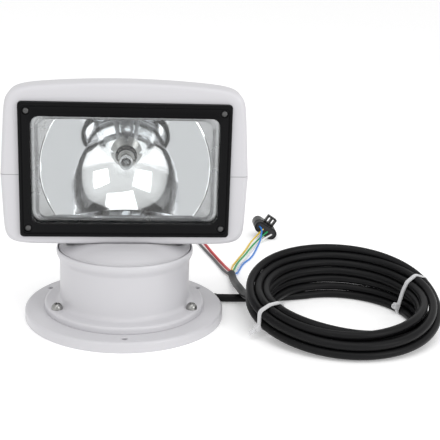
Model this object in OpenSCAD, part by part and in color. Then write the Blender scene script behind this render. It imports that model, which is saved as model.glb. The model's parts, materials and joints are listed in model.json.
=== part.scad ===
// Marine searchlight: a rectangular lamp head that tilts in a yoke on a turning pedestal,
// with its coiled supply cable. Origin at the centre of the base on the deck, +Z up,
// the lamp looks along -Y. Millimetres.

/* [Base] */
// Radius of the deck flange
flange_r = 82.5; // [80:0.5:95]
// Height of the deck flange
flange_h = 8.8; // [8.6:0.1:12]
// Rounding of the flange's top edge
flange_round = 2.4; // [0.5:0.1:4]
// Radius of the opening in the middle of the flange
flange_bore_r = 40; // [36:0.5:42]
// Distance of the deck holes from the flange's edge
deck_hole_inset = 8.5; // [7:0.5:10]
// Radius of a deck hole
deck_hole_r = 2.5; // [1.5:0.1:3]
// Radius of the column's foot ring
foot_r = 66.5; // [65.5:0.5:68]
// Height of the foot ring's top above the deck
foot_top = 14.4; // [12:0.1:18]
// Radius of the column
column_r = 53.6; // [53:0.1:54.5]
// Wall of the column
column_wall = 3; // [2:0.1:4]
// Radius of the bead round the column's top
bead_r = 56.2; // [55.8:0.1:58]
// Height of the bead
bead_h = 9; // [6:0.5:12]
// Height of the column's top above the deck
column_top = 61; // [58:0.5:70]
// Radius of the circle of the base screws
base_screw_circle_r = 60.5; // [60:0.5:61]
// Radius of a base screw's shank
base_screw_r = 2.5; // [1.5:0.1:3]

/* [Turntable] */
// Radius of the turntable disc
disc_r = 54.1; // [53:0.1:54.2]
// Thickness of the turntable disc
disc_t = 3.5; // [3:0.1:5]
// Radius of the turntable's hollow spindle
spindle_r = 17; // [14:0.5:18]
// Wall of the spindle
spindle_wall = 4; // [2:0.5:6]
// Thickness of the deck inside the column that carries the bush
deck_t = 4; // [3:0.5:6]
// Wall of the pan bush
bush_wall = 3; // [2:0.5:5]

/* [Gears] */
// Tooth module of both gear pairs
gear_module = 1; // [0.9:0.05:1.05]
// Teeth of the pan gear
pan_gear_teeth = 60; // [48:2:62]
// Teeth of the pan pinion
pan_pinion_teeth = 15; // [13:2:17]
// Teeth of the full circle that the tilt sector is cut from
tilt_gear_teeth = 54; // [50:2:56]
// Teeth of the tilt pinion
tilt_pinion_teeth = 14; // [12:2:16]

/* [Head] */
// Width of the head
head_w = 194; // [191:0.5:199]
// Height of the head's underside above the deck
head_bottom = 69; // [68.5:0.1:70]
// Height of the head's top above the deck
head_top = 199; // [197:0.5:204]
// Distance of the shell's front edge in front of the pan axis
shell_front = 26; // [25:0.5:27]
// Distance of the head's flat back behind the pan axis
head_back = 60; // [58:0.5:61]
// Wall of the shells
shell_wall = 3; // [2:0.1:4]
// Height of the tilt axis and of the seam between the shells
tilt_z = 126; // [125:0.1:127]
// Distance of the tilt axis behind the pan axis
tilt_y = 6; // [5:0.5:7]
// Thickness of the seal in the seam
seam_t = 1; // [0.6:0.1:1.5]
// Radius of a trunnion pin
pin_r = 5; // [4:0.1:6]

/* [Lamp] */
// Width of the bezel
bezel_w = 164.6; // [163:0.2:168]
// Height of the bezel
bezel_h = 107; // [106:0.2:110]
// Height of the bezel's middle above the deck
bezel_z = 130; // [129:0.2:131]
// Distance that the bezel stands in front of the shell
bezel_proud = 3.6; // [2:0.1:5]
// Width of the bezel's rim at each side of its window
rim_side = 9.3; // [9:0.1:10]
// Width of the bezel's rim above and below its window
rim_top = 11; // [10.5:0.1:12]
// Thickness of the lens glass
lens_t = 3.5; // [2.5:0.1:4]
// Distance of the reflector's round rim inside the window's sides
rim_inset = 6; // [5:0.5:8]
// Depth of the reflector
reflector_d = 46; // [42:0.5:48]
// Wall of the reflector
reflector_wall = 1.5; // [1:0.1:2]

/* [Cable] */
// Diameter of the cable
cable_d = 7; // [6:0.1:7.2]
// Middle radius of the coil's turns
coil_r = 68.5; // [66:0.5:70]
// Width of the stack of turns
coil_w = 27; // [24:0.5:30]
// Height of the stack of turns at the coil's front
coil_front_h = 26; // [22:0.5:32]
// Height of the stack of turns at the coil's back
coil_back_h = 46; // [40:0.5:50]

/* [Clearances] */
// Running clearance of a shaft in its bore
run_gap = 0.05; // [0.02:0.01:0.1]
// Gap between pieces that pass each other
pass_gap = 0.35; // [0.3:0.05:0.6]
// Gap round the bezel in its seat
seat_gap = 0.3; // [0.1:0.05:0.5]

/* [Hidden] */
$fn = 64;
over = 1;
third_turn = 120;

// Base
deck_hole_circle_r = flange_r - deck_hole_inset;
deck_hole_angle = 30;
base_screw_spread = 64.5;
base_screw_head_r = 4.6;
base_screw_head_h = 5.2;
base_screw_dome = 3;
base_screw_end = 4;
cross_l = 5;
cross_w = 1.2;
cross_d = 1.6;
cover_t = 2.4;
cover_lift = 0.4;
cover_r = flange_bore_r + 4;
terminal_size = [28, 12, 11];
terminal_at = [-14, -34];
terminal_ways = 4;
seal_t = 1.2;
seal_in = column_r + 1;
seal_w = 2;
lead_y = 25;
grommet_r = cable_d / 2 + 0.5;
grommet_in = 66;
grommet_out = sqrt(pow(flange_r, 2) - pow(lead_y, 2));
foot_fillet = 3;
bead_round = 1.6;

// Turntable
disc_top = column_top - 0.4;
disc_bottom = disc_top - disc_t;
rim_gap_r = disc_r + pass_gap;
deck_drop = 6;
deck_top = disc_bottom - deck_drop;
deck_bottom = deck_top - deck_t;
bush_r = spindle_r + bush_wall;
bush_flange_r = bush_r + 8;
spindle_end = 24;
thrust_gap = 0.1;
ring_t = 2.2;
wire_hole_r = 6;
cowl_r = 26;
cowl_top = head_bottom + 0.5;
cowl_gap = 0.5;
pan_gear_z = 30;
pan_gear_t = 8;
pan_pinion_angle = 200;
pan_motor_r = 11.5;
motor_shaft_r = 2.4;
tilt_motor_r = 10;
tilt_motor_l = 30;
bracket_t = 2;
bracket_half = 9;
bracket_rise = 34;
bush_nose = 4;
pan_centres = gear_module * (pan_gear_teeth + pan_pinion_teeth) / 2;
tilt_centres = gear_module * (tilt_gear_teeth + tilt_pinion_teeth) / 2;

// Yoke
arm_t = 6;
arm_half = 7;
arm_low_x = 42;
arm_high_x = 62;
arm_foot_t = 3;
arm_foot_x = bush_flange_r + over;
jog_low = head_bottom + 8;
jog_high = jog_low + 4.5;
eye_r = 10;
sector_x = arm_high_x + arm_t;
sector_t = 4;
sector_spare = 16;
arm_screw_r = 1.5;
arm_screw_x = arm_foot_x + 4;
bracket_x = sector_x - 10;

// Head
half_w = head_w / 2;
under_r = 58.5;
roof_flat_y = -8;
back_bulge = head_back + 4 - roof_flat_y;
roof_crown = 5.7;
roof_draft = 0.062;
floor_draft = 0.04;
roof_corner = 14;
floor_corner = 12;
corner_steps = 12;
tilt_up = 45;
tilt_down = 15;
slot_gap = 1.5;
boss_x = sector_x + sector_t + 4;
boss_l = 12;
boss_r = 10;
shell_round = 3;
ledge_y = -18;
ledge_t = 3;
shell_screw_r = 2;
shell_screw_in = 9.5;
shell_screw_x = half_w - shell_screw_in;
shell_screw_y = 30;
shell_post_r = 5;
shell_screw_up = 14;
shell_screw_down = 22;
shell_screw_head_r = shell_post_r - 1.4;
shell_screw_head_h = 2;

// Lamp
bezel_front = -shell_front - bezel_proud;
bezel_lip = 3.6;
bezel_round = 3;
window_w = bezel_w - 2 * rim_side;
window_h = bezel_h - 2 * rim_top;
window_round = 7;
bezel_screw_x = bezel_w / 2 - 6.3;
bezel_screw_z = bezel_h / 2 - 6.9;
bezel_screw_r = 1.6;
bezel_screw_head_r = 2.6;
bezel_screw_l = 20;
pocket_w = window_w + 5;
pocket_h = window_h + 9;
pocket_round = 14;
insert_w = pocket_w - 1;
insert_h = pocket_h - 1;
insert_round = pocket_round - 0.5;
ledge_w = pocket_w - 11;
ledge_h = pocket_h - 5;
gasket_t = 1;
lens_y = bezel_front + bezel_lip + gasket_t;
flange_y = lens_y + lens_t;
vertex_y = ledge_y + reflector_d;
reflector_r = window_w / 2 - rim_inset;
reflector_cut = window_h / 2 - 0.5;
dish_round = 30;
bulb_r = 5.5;
bulb_l = 32;
bulb_neck = 6;
bulb_tip = vertex_y - bulb_l;
bulb_base_r = 8;
holder_r = 11;
holder_l = 15;
clip_l = 7;
clip_wall = 1.7;

// Cable: every route is in deck coordinates, the coil lies beside the base
cable_r = cable_d / 2;
coil_at = [182, -22];
coil_lift = 1.4;
coil_lean = (coil_back_h - coil_front_h) / (2 * coil_r + coil_w);
coil_corner = 8;
tie_t = 1.2;
tie_w = 3.6;
tie_slack = 0.8;
power_r = 1.4;
signal_r = 0.9;
lead_route = [[48, 25, 4], [62, 25, 4], [78, 25, 4], [92, 25, 3.8], [106, 25.5, 3.6], [122, 27, 4.5]];
tail_route = [[106, -22, 17], [103, 0, 15], [101, 20, 13], [100, 41, 10], [100, 60, 6],
    [100, 75, 4], [100, 89, 3.6]];
red_route = [[99.3, 89, 5.5], [98, 98, 4.2], [95, 120, 1.8], [91, 140, 1.5], [86, 165, 1.5],
    [82, 190, 1.5], [80, 212, 1.5]];
black_route = [[97.9, 89, 2.9], [95, 98, 2.2], [91, 118, 1.5], [87, 138, 1.5], [81, 165, 1.5],
    [76, 190, 1.5], [73, 210, 1.5]];
yellow_route = [[101.8, 89, 5.2], [101.8, 104, 3.2], [111, 136, 1], [122, 165, 1], [131, 188, 3],
    [140, 200, 8], [146.2, 207, 11.5]];
green_route = [[100.5, 89, 3], [103.6, 104, 1], [107.5, 118, 1], [111.8, 131, 1], [120, 151, 1],
    [131, 178, 2], [143, 198, 5.5], [150.8, 207, 8.5]];
white_route = [[101.4, 89, 1.3], [104.2, 95, 1], [106.4, 104, 1], [110.3, 118, 1], [119, 138, 1],
    [129, 165, 1], [140, 190, 2.4], [150, 201, 4.6], [155.5, 207, 5.4]];
blue_route = [[102.9, 89, 3.2], [106.6, 96, 1.8], [108.8, 104, 1], [115.5, 124, 1], [125, 142, 1],
    [135, 172, 1], [140, 186, 5], [142.5, 196, 9], [143.5, 202, 12.5], [141.5, 207, 14.6]];
connector_at = [148.5, 205, 10];
connector_roll = 33;
connector_l = 24;
connector_w = 26;
connector_t = 12;
latch_w = 11;
latch_h = 9;
latch_l = 6;
latch_bar = 1.6;

// Points of one spur gear's outline, a tooth centred on angle 0
function gear_points(teeth, m = gear_module) = let (p = 360 / teeth, tip = m * (teeth + 2) / 2,
    root = m * (teeth - 2.5) / 2) [for (i = [0 : teeth - 1], k = [[root, -0.29], [tip, -0.1],
    [tip, 0.1], [root, 0.29]]) k[0] * [cos((i + k[1]) * p), sin((i + k[1]) * p)]];

// Frame of a route at point i: the direction, a level side and the normal to both
function unit(v) = v / norm(v);
function along(q, i) = unit(q[min(i + 1, len(q) - 1)] - q[max(i - 1, 0)]);
function level(d) = unit(cross(d, [0, 0, 1]));

// Tube of radius r with flat ends along the route q
module tube(q, r, sides = 8) {
    n = len(q);
    rings = [for (i = [0 : n - 1], a = [0 : sides - 1]) let (d = along(q, i), s = level(d))
        q[i] + r * (cos(a * 360 / sides) * s + sin(a * 360 / sides) * cross(s, d))];
    walls = [for (i = [0 : n - 2], a = [0 : sides - 1]) let (b = (a + 1) % sides)
        [i * sides + a, i * sides + b, (i + 1) * sides + b, (i + 1) * sides + a]];
    polyhedron(rings, concat([[for (a = [sides - 1 : -1 : 0]) a]], walls,
        [[for (a = [0 : sides - 1]) (n - 1) * sides + a]]), convexity = 6);
}

// Flat rounded rectangle, centred
module rounded(w, h, r) {
    square([w - 2 * r, h], center = true);
    square([w, h - 2 * r], center = true);
    for (sx = [-1, 1], sy = [-1, 1]) translate([sx * (w / 2 - r), sy * (h / 2 - r)]) circle(r);
}

// Plate in the XZ plane from y0 to y1, about the lamp's middle
module plate(y0, y1, w, h, r) {
    translate([0, y1, bezel_z]) rotate([90, 0, 0]) linear_extrude(y1 - y0) rounded(w, h, r);
}

// Solid of revolution about the lamp's axis: profile points are [radius, y]
module lamp_turned(profile) {
    translate([0, 0, bezel_z]) rotate([-90, 0, 0]) rotate_extrude() polygon(profile);
}

// Places copies at three equal angles on a circle
module on_circle(r, first) {
    for (k = [0 : 2]) rotate(first + k * third_turn) translate([r, 0]) children();
}

// The places of the base screws: one behind, two beside the front
module at_base_screws() {
    for (a = [90, 270 - base_screw_spread, 270 + base_screw_spread])
        rotate(a) translate([base_screw_circle_r, 0]) children();
}

// Moves a shape drawn about Z to lie about the tilt axis, with its X along +Y and its Y along +Z
module at_tilt_axis(x) {
    translate([x, tilt_y, tilt_z]) rotate([90, 0, 90]) children();
}

// Head outline in steps: half width, top and underside at each distance y
function head_half(y) = half_w * pow(1 - pow(max(0, y + 5) / (head_back + 12), 3), 1 / 3);
function head_roof(y) = tilt_z + (head_top - tilt_z) * sqrt(1 - pow(max(0, y - roof_flat_y) / back_bulge, 2));
function head_floor(y) = let (behind = max(0, y - tilt_y))
    max(head_bottom, tilt_z - sqrt(max(0, pow(under_r, 2) - pow(behind, 2))));
head_steps = [for (k = [0 : 3]) -shell_front + shell_round * (1 - cos(k * 30)),
    for (y = [-10, 6, 20, 28, 34, 40, 45, 50, 54, 57]) y, head_back];
head_sides = 4 * corner_steps;

// Point k of the head's section at step i, drawn in by inset: sides with draft, crowned roof
function head_point(i, k, inset) = let (y = head_steps[i], u = 2 * (k % corner_steps) / corner_steps - 1,
    a = 90 * floor(k / corner_steps) + 45 * (1 + sign(u) * u * u),
    lead_in = i < 3 ? shell_round * (1 - sin(i * 30)) : 0, hw = head_half(y) - inset - lead_in,
    rise = head_roof(y) - tilt_z - inset - lead_in, drop = tilt_z - head_floor(y) - inset - lead_in,
    n = a < 180 ? roof_corner : floor_corner, c = cos(a), s = sin(a),
    r = pow(pow(abs(c), n) + pow(abs(s), n), -1 / n), px = c * r, pz = s * r)
    a < 180 ? [px * (hw - roof_draft * rise * pz), y, tilt_z + (rise - roof_crown * px * px) * pz]
        : [px * (hw + floor_draft * drop * pz), y, tilt_z + drop * pz];

// Solid of the head's form, drawn in by inset, with its back moved in by back
module head_form(inset = 0, back = 0) {
    n = len(head_steps);
    last = (n - 1) * head_sides;
    rings = [for (i = [0 : n - 1], k = [0 : head_sides - 1]) let (p = head_point(i, k, inset))
        i == n - 1 ? [p[0], p[1] - back, p[2]] : p];
    middles = [[0, -shell_front, bezel_z], [0, head_back - back, tilt_z]];
    faces = [for (k = [0 : head_sides - 1]) let (j = (k + 1) % head_sides) each [
        [n * head_sides, j, k], [n * head_sides + 1, last + k, last + j],
        for (i = [0 : n - 2]) let (o = i * head_sides, u = o + head_sides)
            each [[o + k, o + j, u + k], [o + j, u + j, u + k]]]];
    polyhedron(concat(rings, middles), faces, convexity = 6);
}

// Room that an arm of the yoke needs in the shell over the whole tilt
module arm_slot() {
    reach = under_r + 8;
    at_tilt_axis(arm_low_x - slot_gap) linear_extrude(arm_t + 2 * slot_gap) difference() {
        union() {
            for (a = [-tilt_down, tilt_up]) rotate(a) translate([-arm_half - slot_gap, -reach])
                square([2 * (arm_half + slot_gap), reach - 30]);
            polygon([[0, 0], for (k = [0 : 6]) let (a = -90 - tilt_down + k * (tilt_up + tilt_down) / 6)
                reach * [cos(a), sin(a)]]);
        }
        circle(30);
    }
}

// Both shells in one: hollow form with its front seat, ledge, bosses, posts and arm slots
module shells() {
    difference() {
        union() {
            difference() {
                head_form();
                intersection() {
                    head_form(shell_wall, shell_wall);
                    translate([-head_w, ledge_y + ledge_t, 0]) cube(2 * [head_w, head_w, head_top]);
                }
            }
            intersection() {
                head_form(shell_wall / 2, shell_wall / 2);
                union() {
                    for (s = [-1, 1]) {
                        at_tilt_axis(s * boss_x) rotate([0, 90 - s * 90, 0]) cylinder(half_w, r = boss_r);
                        translate([s * shell_screw_x, shell_screw_y, 0])
                            cylinder(2 * tilt_z, r = shell_post_r);
                    }
                    translate([bracket_x - 6, tilt_y + tilt_centres - 6, tilt_z + bracket_rise])
                        cube([14, 12, head_top]);
                }
            }
        }
        plate(-2 * shell_front, ledge_y, bezel_w + 2 * seat_gap, bezel_h + 2 * seat_gap,
            bezel_round + seat_gap);
        plate(ledge_y - over, ledge_y + ledge_t + over, ledge_w, ledge_h, pocket_round - 2);
        for (m = [0, 1]) mirror([m, 0]) {
            arm_slot();
            at_tilt_axis(boss_x - over) cylinder(boss_l + over, r = pin_r);
            translate([shell_screw_x, shell_screw_y, 0]) {
                cylinder(tilt_z + shell_screw_up, r = shell_screw_r);
                cylinder(tilt_z - shell_screw_down, r = shell_screw_head_r);
            }
        }
        bezel_screw_places() cylinder(bezel_screw_l - 8, r = bezel_screw_r);
    }
}

// The four bezel screws' places, looking into the lamp
module bezel_screw_places() {
    for (sx = [-1, 1], sz = [-1, 1])
        translate([sx * bezel_screw_x, ledge_y - over, bezel_z + sz * bezel_screw_z])
            rotate([-90, 0, 0]) children();
}

module base_flange() {
    color("white") difference() {
        rotate_extrude() difference() {
            union() {
                square([flange_r - flange_round, flange_h]);
                square([flange_r, flange_h - flange_round]);
                translate([flange_r - flange_round, flange_h - flange_round]) circle(flange_round);
            }
            square([flange_bore_r, flange_h + over]);
            square([cover_r, cover_t + cover_lift]);
            translate([seal_in, flange_h - seal_t]) square([seal_w, seal_t + over]);
        }
        on_circle(deck_hole_circle_r, deck_hole_angle) translate([0, 0, -over])
            cylinder(flange_h + 2 * over, r = deck_hole_r);
        at_base_screws() translate([0, 0, base_screw_end])
            cylinder(flange_h, r = base_screw_r);
        translate([0, lead_y, grommet_r]) rotate([0, 90, 0]) cylinder(flange_r + over, r = grommet_r);
    }
}

module column() {
    bead_z = column_top - bead_h;
    color("white") difference() {
        rotate_extrude() difference() {
            union() {
                translate([0, flange_h]) square([foot_r - bead_round, foot_top - flange_h]);
                translate([0, flange_h]) square([foot_r, foot_top - flange_h - bead_round]);
                translate([foot_r - bead_round, foot_top - bead_round]) circle(bead_round);
                translate([0, flange_h]) square([column_r, column_top - flange_h - over]);
                difference() {
                    translate([0, foot_top - over]) square([column_r + foot_fillet, foot_fillet + over]);
                    translate([column_r + foot_fillet, foot_top + foot_fillet]) circle(foot_fillet);
                }
                translate([0, bead_z + bead_round]) square([bead_r, bead_h - 2 * bead_round]);
                translate([0, bead_z]) square([bead_r - bead_round, bead_h]);
                for (z = [bead_z + bead_round, column_top - bead_round])
                    translate([bead_r - bead_round, z]) circle(bead_round);
            }
            square([column_r - column_wall, deck_bottom]);
            translate([0, deck_top]) square([column_r - column_wall, column_top]);
            translate([0, disc_bottom - pass_gap]) square([rim_gap_r, column_top]);
            square([bush_r, column_top]);
        }
        at_base_screws() cylinder(column_top / 2, r = base_screw_r);
    }
}

module base_seal() {
    color("black") translate([0, 0, flange_h - seal_t]) difference() {
        cylinder(seal_t, r = seal_in + seal_w);
        translate([0, 0, -over]) cylinder(seal_t + 2 * over, r = seal_in);
    }
}

module base_screws() {
    side_h = base_screw_head_h - base_screw_dome;
    color("silver") at_base_screws() difference() {
        union() {
            translate([0, 0, base_screw_end]) cylinder(foot_top - base_screw_end, r = base_screw_r);
            translate([0, 0, foot_top]) rotate_extrude($fn = 32) polygon([[0, 0], [base_screw_head_r, 0],
                for (a = [0 : 15 : 90]) [base_screw_head_r * cos(a), side_h + base_screw_dome * sin(a)]]);
        }
        for (a = [0, 90]) translate([0, 0, foot_top + base_screw_head_h]) rotate(a)
            cube([cross_l, cross_w, 2 * cross_d], center = true);
    }
}

module bottom_cover() {
    color("dimgray") translate([0, 0, cover_lift]) cylinder(cover_t, r = cover_r - pass_gap);
}

module cable_grommet() {
    color("black") translate([0, lead_y, grommet_r]) rotate([0, 90, 0]) difference() {
        translate([0, 0, grommet_in]) cylinder(grommet_out - grommet_in, r = grommet_r);
        cylinder(flange_r, r = cable_r);
    }
}

module terminal_block() {
    pitch = terminal_size[0] / terminal_ways;
    color("ivory") translate([terminal_at[0], terminal_at[1], cover_t + cover_lift]) difference() {
        cube(terminal_size);
        for (k = [0 : terminal_ways - 1])
            translate([(k + 0.5) * pitch, terminal_size[1] / 2, terminal_size[2] / 2])
                cylinder(terminal_size[2], r = pitch * 0.28);
    }
}

// Place of the pan pinion and its motor
module at_pan_pinion() {
    rotate(pan_pinion_angle) translate([pan_centres, 0]) children();
}

module pan_motor() {
    color("gray") at_pan_pinion() {
        translate([0, 0, flange_h]) cylinder(pan_gear_z - flange_h - over, r = pan_motor_r);
        translate([0, 0, flange_h + over]) cylinder(pan_gear_z + pan_gear_t - flange_h, r = motor_shaft_r);
    }
}

module pan_pinion() {
    color("goldenrod") at_pan_pinion() translate([0, 0, pan_gear_z]) linear_extrude(pan_gear_t)
        difference() {
            rotate(180 + 180 / pan_pinion_teeth) polygon(gear_points(pan_pinion_teeth));
            circle(motor_shaft_r + run_gap);
        }
}

module pan_bush() {
    color("tan") difference() {
        union() {
            translate([0, 0, deck_bottom - bush_nose]) cylinder(deck_t + bush_nose, r = bush_r);
            translate([0, 0, deck_top]) cylinder(disc_bottom - deck_top - thrust_gap, r = bush_flange_r);
        }
        cylinder(column_top, r = spindle_r + run_gap);
    }
}

// Low dome on the turntable, hollowed where the head's underside swings
module cowl() {
    swing_r = norm([shell_front + tilt_y, tilt_z - head_bottom]) + cowl_gap;
    difference() {
        rotate_extrude() polygon([[0, disc_bottom], [disc_r - 1, disc_bottom], [disc_r - 1, disc_top],
            [cowl_r, cowl_top], [0, cowl_top]]);
        at_tilt_axis(-disc_r) cylinder(2 * disc_r, r = swing_r);
    }
}

module turntable() {
    color("white") difference() {
        union() {
            translate([0, 0, disc_bottom]) rotate_extrude() {
                square([disc_r - 1, disc_t]);
                square([disc_r, disc_t - 1]);
                translate([disc_r - 1, disc_t - 1]) circle(1);
            }
            translate([0, 0, spindle_end]) cylinder(disc_bottom - spindle_end, r = spindle_r);
            cowl();
        }
        cylinder(disc_bottom, r = spindle_r - spindle_wall);
        cylinder(column_top + over, r = wire_hole_r);
        for (s = [-1, 1]) {
            translate([s * (arm_low_x + arm_t / 2), tilt_y, disc_top])
                cube([arm_t, 2 * arm_half, 4 * disc_t], center = true);
            for (y = [-1, 1]) translate([s * arm_screw_x, tilt_y + y * arm_half / 2, disc_bottom - over])
                cylinder(disc_t + 2 * over, r = arm_screw_r);
        }
    }
}

module pan_gear() {
    color("goldenrod") translate([0, 0, pan_gear_z]) linear_extrude(pan_gear_t) difference() {
        rotate(pan_pinion_angle) polygon(gear_points(pan_gear_teeth));
        circle(spindle_r);
    }
}

module retaining_ring() {
    ring_z = deck_bottom - bush_nose - thrust_gap - ring_t;
    color("silver") translate([0, 0, ring_z]) linear_extrude(ring_t) difference() {
        circle(bush_r + over);
        circle(spindle_r);
    }
}

// One arm of the yoke on the +X side: foot under the disc, stem, jog over the reflector, eye
module yoke_arm() {
    foot_z = disc_bottom - arm_foot_t;
    difference() {
        union() {
            translate([0, tilt_y + arm_half, 0]) rotate([90, 0, 0]) linear_extrude(2 * arm_half) polygon([
                [arm_foot_x, foot_z], [arm_low_x + arm_t, foot_z], [arm_low_x + arm_t, jog_low],
                [arm_high_x + arm_t, jog_low], [arm_high_x + arm_t, tilt_z], [arm_high_x, tilt_z],
                [arm_high_x, jog_high], [arm_low_x, jog_high], [arm_low_x, disc_bottom],
                [arm_foot_x, disc_bottom]]);
            at_tilt_axis(arm_high_x) cylinder(arm_t, r = eye_r);
        }
        at_tilt_axis(arm_high_x - over) cylinder(arm_t + 2 * over, r = pin_r + run_gap);
        for (y = [-1, 1]) translate([arm_screw_x, tilt_y + y * arm_half / 2, foot_z - over])
            cylinder(arm_foot_t + 2 * over, r = arm_screw_r);
    }
}

module yoke_arm_left() {
    color("dimgray") mirror([1, 0]) yoke_arm();
}

module yoke_arm_right() {
    color("dimgray") yoke_arm();
}

module arm_screws() {
    color("silver") for (sx = [-1, 1], sy = [-1, 1])
        translate([sx * arm_screw_x, tilt_y + sy * arm_half / 2, disc_bottom - arm_foot_t]) {
            translate([0, 0, -1.6]) cylinder(1.6, r = 2 * arm_screw_r);
            cylinder(arm_foot_t + disc_t - 0.5, r = arm_screw_r);
        }
}

module tilt_sector() {
    wedge = 2 * tilt_centres;
    color("goldenrod") at_tilt_axis(sector_x) linear_extrude(sector_t) difference() {
        union() {
            circle(eye_r);
            intersection() {
                polygon(gear_points(tilt_gear_teeth));
                polygon([[0, 0], for (a = [-tilt_up - sector_spare, -30, 0, tilt_down + sector_spare])
                    wedge * [cos(a), sin(a)]]);
            }
        }
        circle(pin_r + run_gap);
    }
}

module trunnion_pins() {
    color("silver") for (m = [0, 1]) mirror([m, 0])
        at_tilt_axis(arm_high_x - over) cylinder(boss_x + boss_l - arm_high_x + over, r = pin_r);
}

// Place of the tilt pinion and its motor, behind the tilt axis
module at_tilt_pinion(x) {
    at_tilt_axis(x) translate([tilt_centres, 0]) children();
}

module tilt_motor() {
    color("gray") {
        at_tilt_pinion(bracket_x - tilt_motor_l) cylinder(tilt_motor_l, r = tilt_motor_r);
        at_tilt_pinion(bracket_x - over)
            cylinder(sector_x + sector_t + 2 * over - bracket_x, r = motor_shaft_r);
    }
}

module tilt_bracket() {
    color("silver") difference() {
        translate([bracket_x, tilt_y + tilt_centres - bracket_half, tilt_z - bracket_half])
            cube([bracket_t, 2 * bracket_half, bracket_half + bracket_rise]);
        at_tilt_pinion(bracket_x - over) cylinder(bracket_t + 2 * over, r = motor_shaft_r);
    }
}

module tilt_pinion() {
    color("goldenrod") at_tilt_pinion(sector_x) linear_extrude(sector_t) difference() {
        rotate(180 + 180 / tilt_pinion_teeth) polygon(gear_points(tilt_pinion_teeth));
        circle(motor_shaft_r + run_gap);
    }
}

// Slab between two heights, wider than the head
module slab(z0, z1) {
    translate([-head_w, -head_w, z0]) cube([2 * head_w, 2 * head_w, z1 - z0]);
}

module upper_shell() {
    color("white") intersection() {
        shells();
        slab(tilt_z + seam_t / 2, 2 * head_top);
    }
}

module lower_shell() {
    color("white") intersection() {
        shells();
        slab(0, tilt_z - seam_t / 2);
    }
}

module seam_gasket() {
    color("dimgray") intersection() {
        shells();
        slab(tilt_z - seam_t / 2, tilt_z + seam_t / 2);
    }
}

module shell_screws() {
    color("silver") for (m = [0, 1]) mirror([m, 0]) translate([shell_screw_x, shell_screw_y, 0]) {
        translate([0, 0, tilt_z - shell_screw_down - shell_screw_head_h])
            cylinder(shell_screw_head_h, r = shell_screw_head_r);
        translate([0, 0, tilt_z - shell_screw_down])
            cylinder(shell_screw_down + shell_screw_up, r = shell_screw_r);
    }
}

module bezel() {
    color("black") difference() {
        plate(bezel_front, ledge_y, bezel_w, bezel_h, bezel_round);
        plate(bezel_front - over, ledge_y + over, window_w, window_h, window_round);
        plate(bezel_front + bezel_lip, ledge_y + over, pocket_w, pocket_h, pocket_round);
        translate([0, bezel_front - ledge_y, 0]) bezel_screw_places() {
            cylinder(bezel_screw_l, r = bezel_screw_r);
            cylinder(2 + over, r = bezel_screw_head_r);
        }
    }
}

module bezel_screws() {
    color("gray") translate([0, bezel_front - ledge_y + over, 0]) bezel_screw_places() {
        translate([0, 0, 0.4]) cylinder(1.6, r = bezel_screw_head_r);
        translate([0, 0, 0.4]) cylinder(ledge_y - bezel_front + 8, r = bezel_screw_r);
    }
}

module lens_gasket() {
    color("black") difference() {
        plate(lens_y - gasket_t, lens_y, insert_w, insert_h, insert_round);
        plate(lens_y - gasket_t - over, lens_y + over, window_w, window_h, window_round);
    }
}

module lens() {
    color("lightblue", 0.4) plate(lens_y, flange_y, insert_w, insert_h, insert_round);
}

// Dish of the reflector as a solid, its wall outside the mirror surface by t
module dish(t) {
    steps = 12;
    profile = [[0, ledge_y - over], for (k = [steps : -1 : 0]) let (r = reflector_r * k / steps)
        [r + t, vertex_y - reflector_d * pow(k / steps, 2) + t]];
    intersection() {
        lamp_turned(concat([profile[0], [reflector_r + t, ledge_y - over]],
            [for (k = [1 : len(profile) - 1]) profile[k]], [[0, vertex_y + t]]));
        translate([-reflector_r - over, -reflector_r, bezel_z - reflector_cut - t])
            cube([2 * (reflector_r + over), 3 * reflector_r, 2 * (reflector_cut + t)]);
    }
}

module reflector() {
    color("silver") difference() {
        union() {
            plate(flange_y, ledge_y, insert_w, insert_h, insert_round);
            dish(reflector_wall);
        }
        dish(0);
        plate(flange_y - over, ledge_y - over / 2, 2 * reflector_r - 0.4, 2 * reflector_cut - 0.4,
            dish_round);
        lamp_turned([[0, 0], [bulb_base_r, 0], [bulb_base_r, head_back], [0, head_back]]);
    }
}

module bulb() {
    color("lightcyan") lamp_turned([[0, bulb_tip], [bulb_r - 2, bulb_tip + 0.6], [bulb_r, bulb_tip + 4],
        [bulb_r, vertex_y - bulb_neck], [bulb_base_r, vertex_y - bulb_neck + 2],
        [bulb_base_r, vertex_y + holder_l - 3], [0, vertex_y + holder_l - 3]]);
}

module bulb_holder() {
    front = vertex_y + reflector_wall + 0.6;
    back = vertex_y + holder_l;
    color("ivory") lamp_turned([[bulb_base_r, front], [holder_r, front], [holder_r, back], [0, back],
        [0, back - 3], [bulb_base_r, back - 3]]);
}

module bulb_clip() {
    back = vertex_y - bulb_neck;
    clip_r = bulb_r + clip_wall;
    color("dimgray") lamp_turned([[bulb_r, back - clip_l], [clip_r, back - clip_l], [clip_r, back],
        [bulb_r, back]]);
}

module cable_lead() {
    color("black") tube(lead_route, cable_r, 12);
}

// Height of the stack at a distance y behind the coil's middle
function coil_h(y) = (coil_front_h + coil_back_h) / 2 + coil_lean * y;

module cable_coil() {
    wide = 4 * coil_r;
    color("black") translate([coil_at[0], coil_at[1], coil_lift]) difference() {
        rotate_extrude() translate([coil_r, coil_back_h / 2]) rounded(coil_w, coil_back_h, coil_corner);
        translate([0, 0, coil_h(0)]) rotate([atan(coil_lean), 0, 0]) translate([-wide / 2, -wide / 2, 0])
            cube(wide);
    }
}

module cable_tail() {
    color("black") tube(tail_route, cable_r, 12);
}

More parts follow.
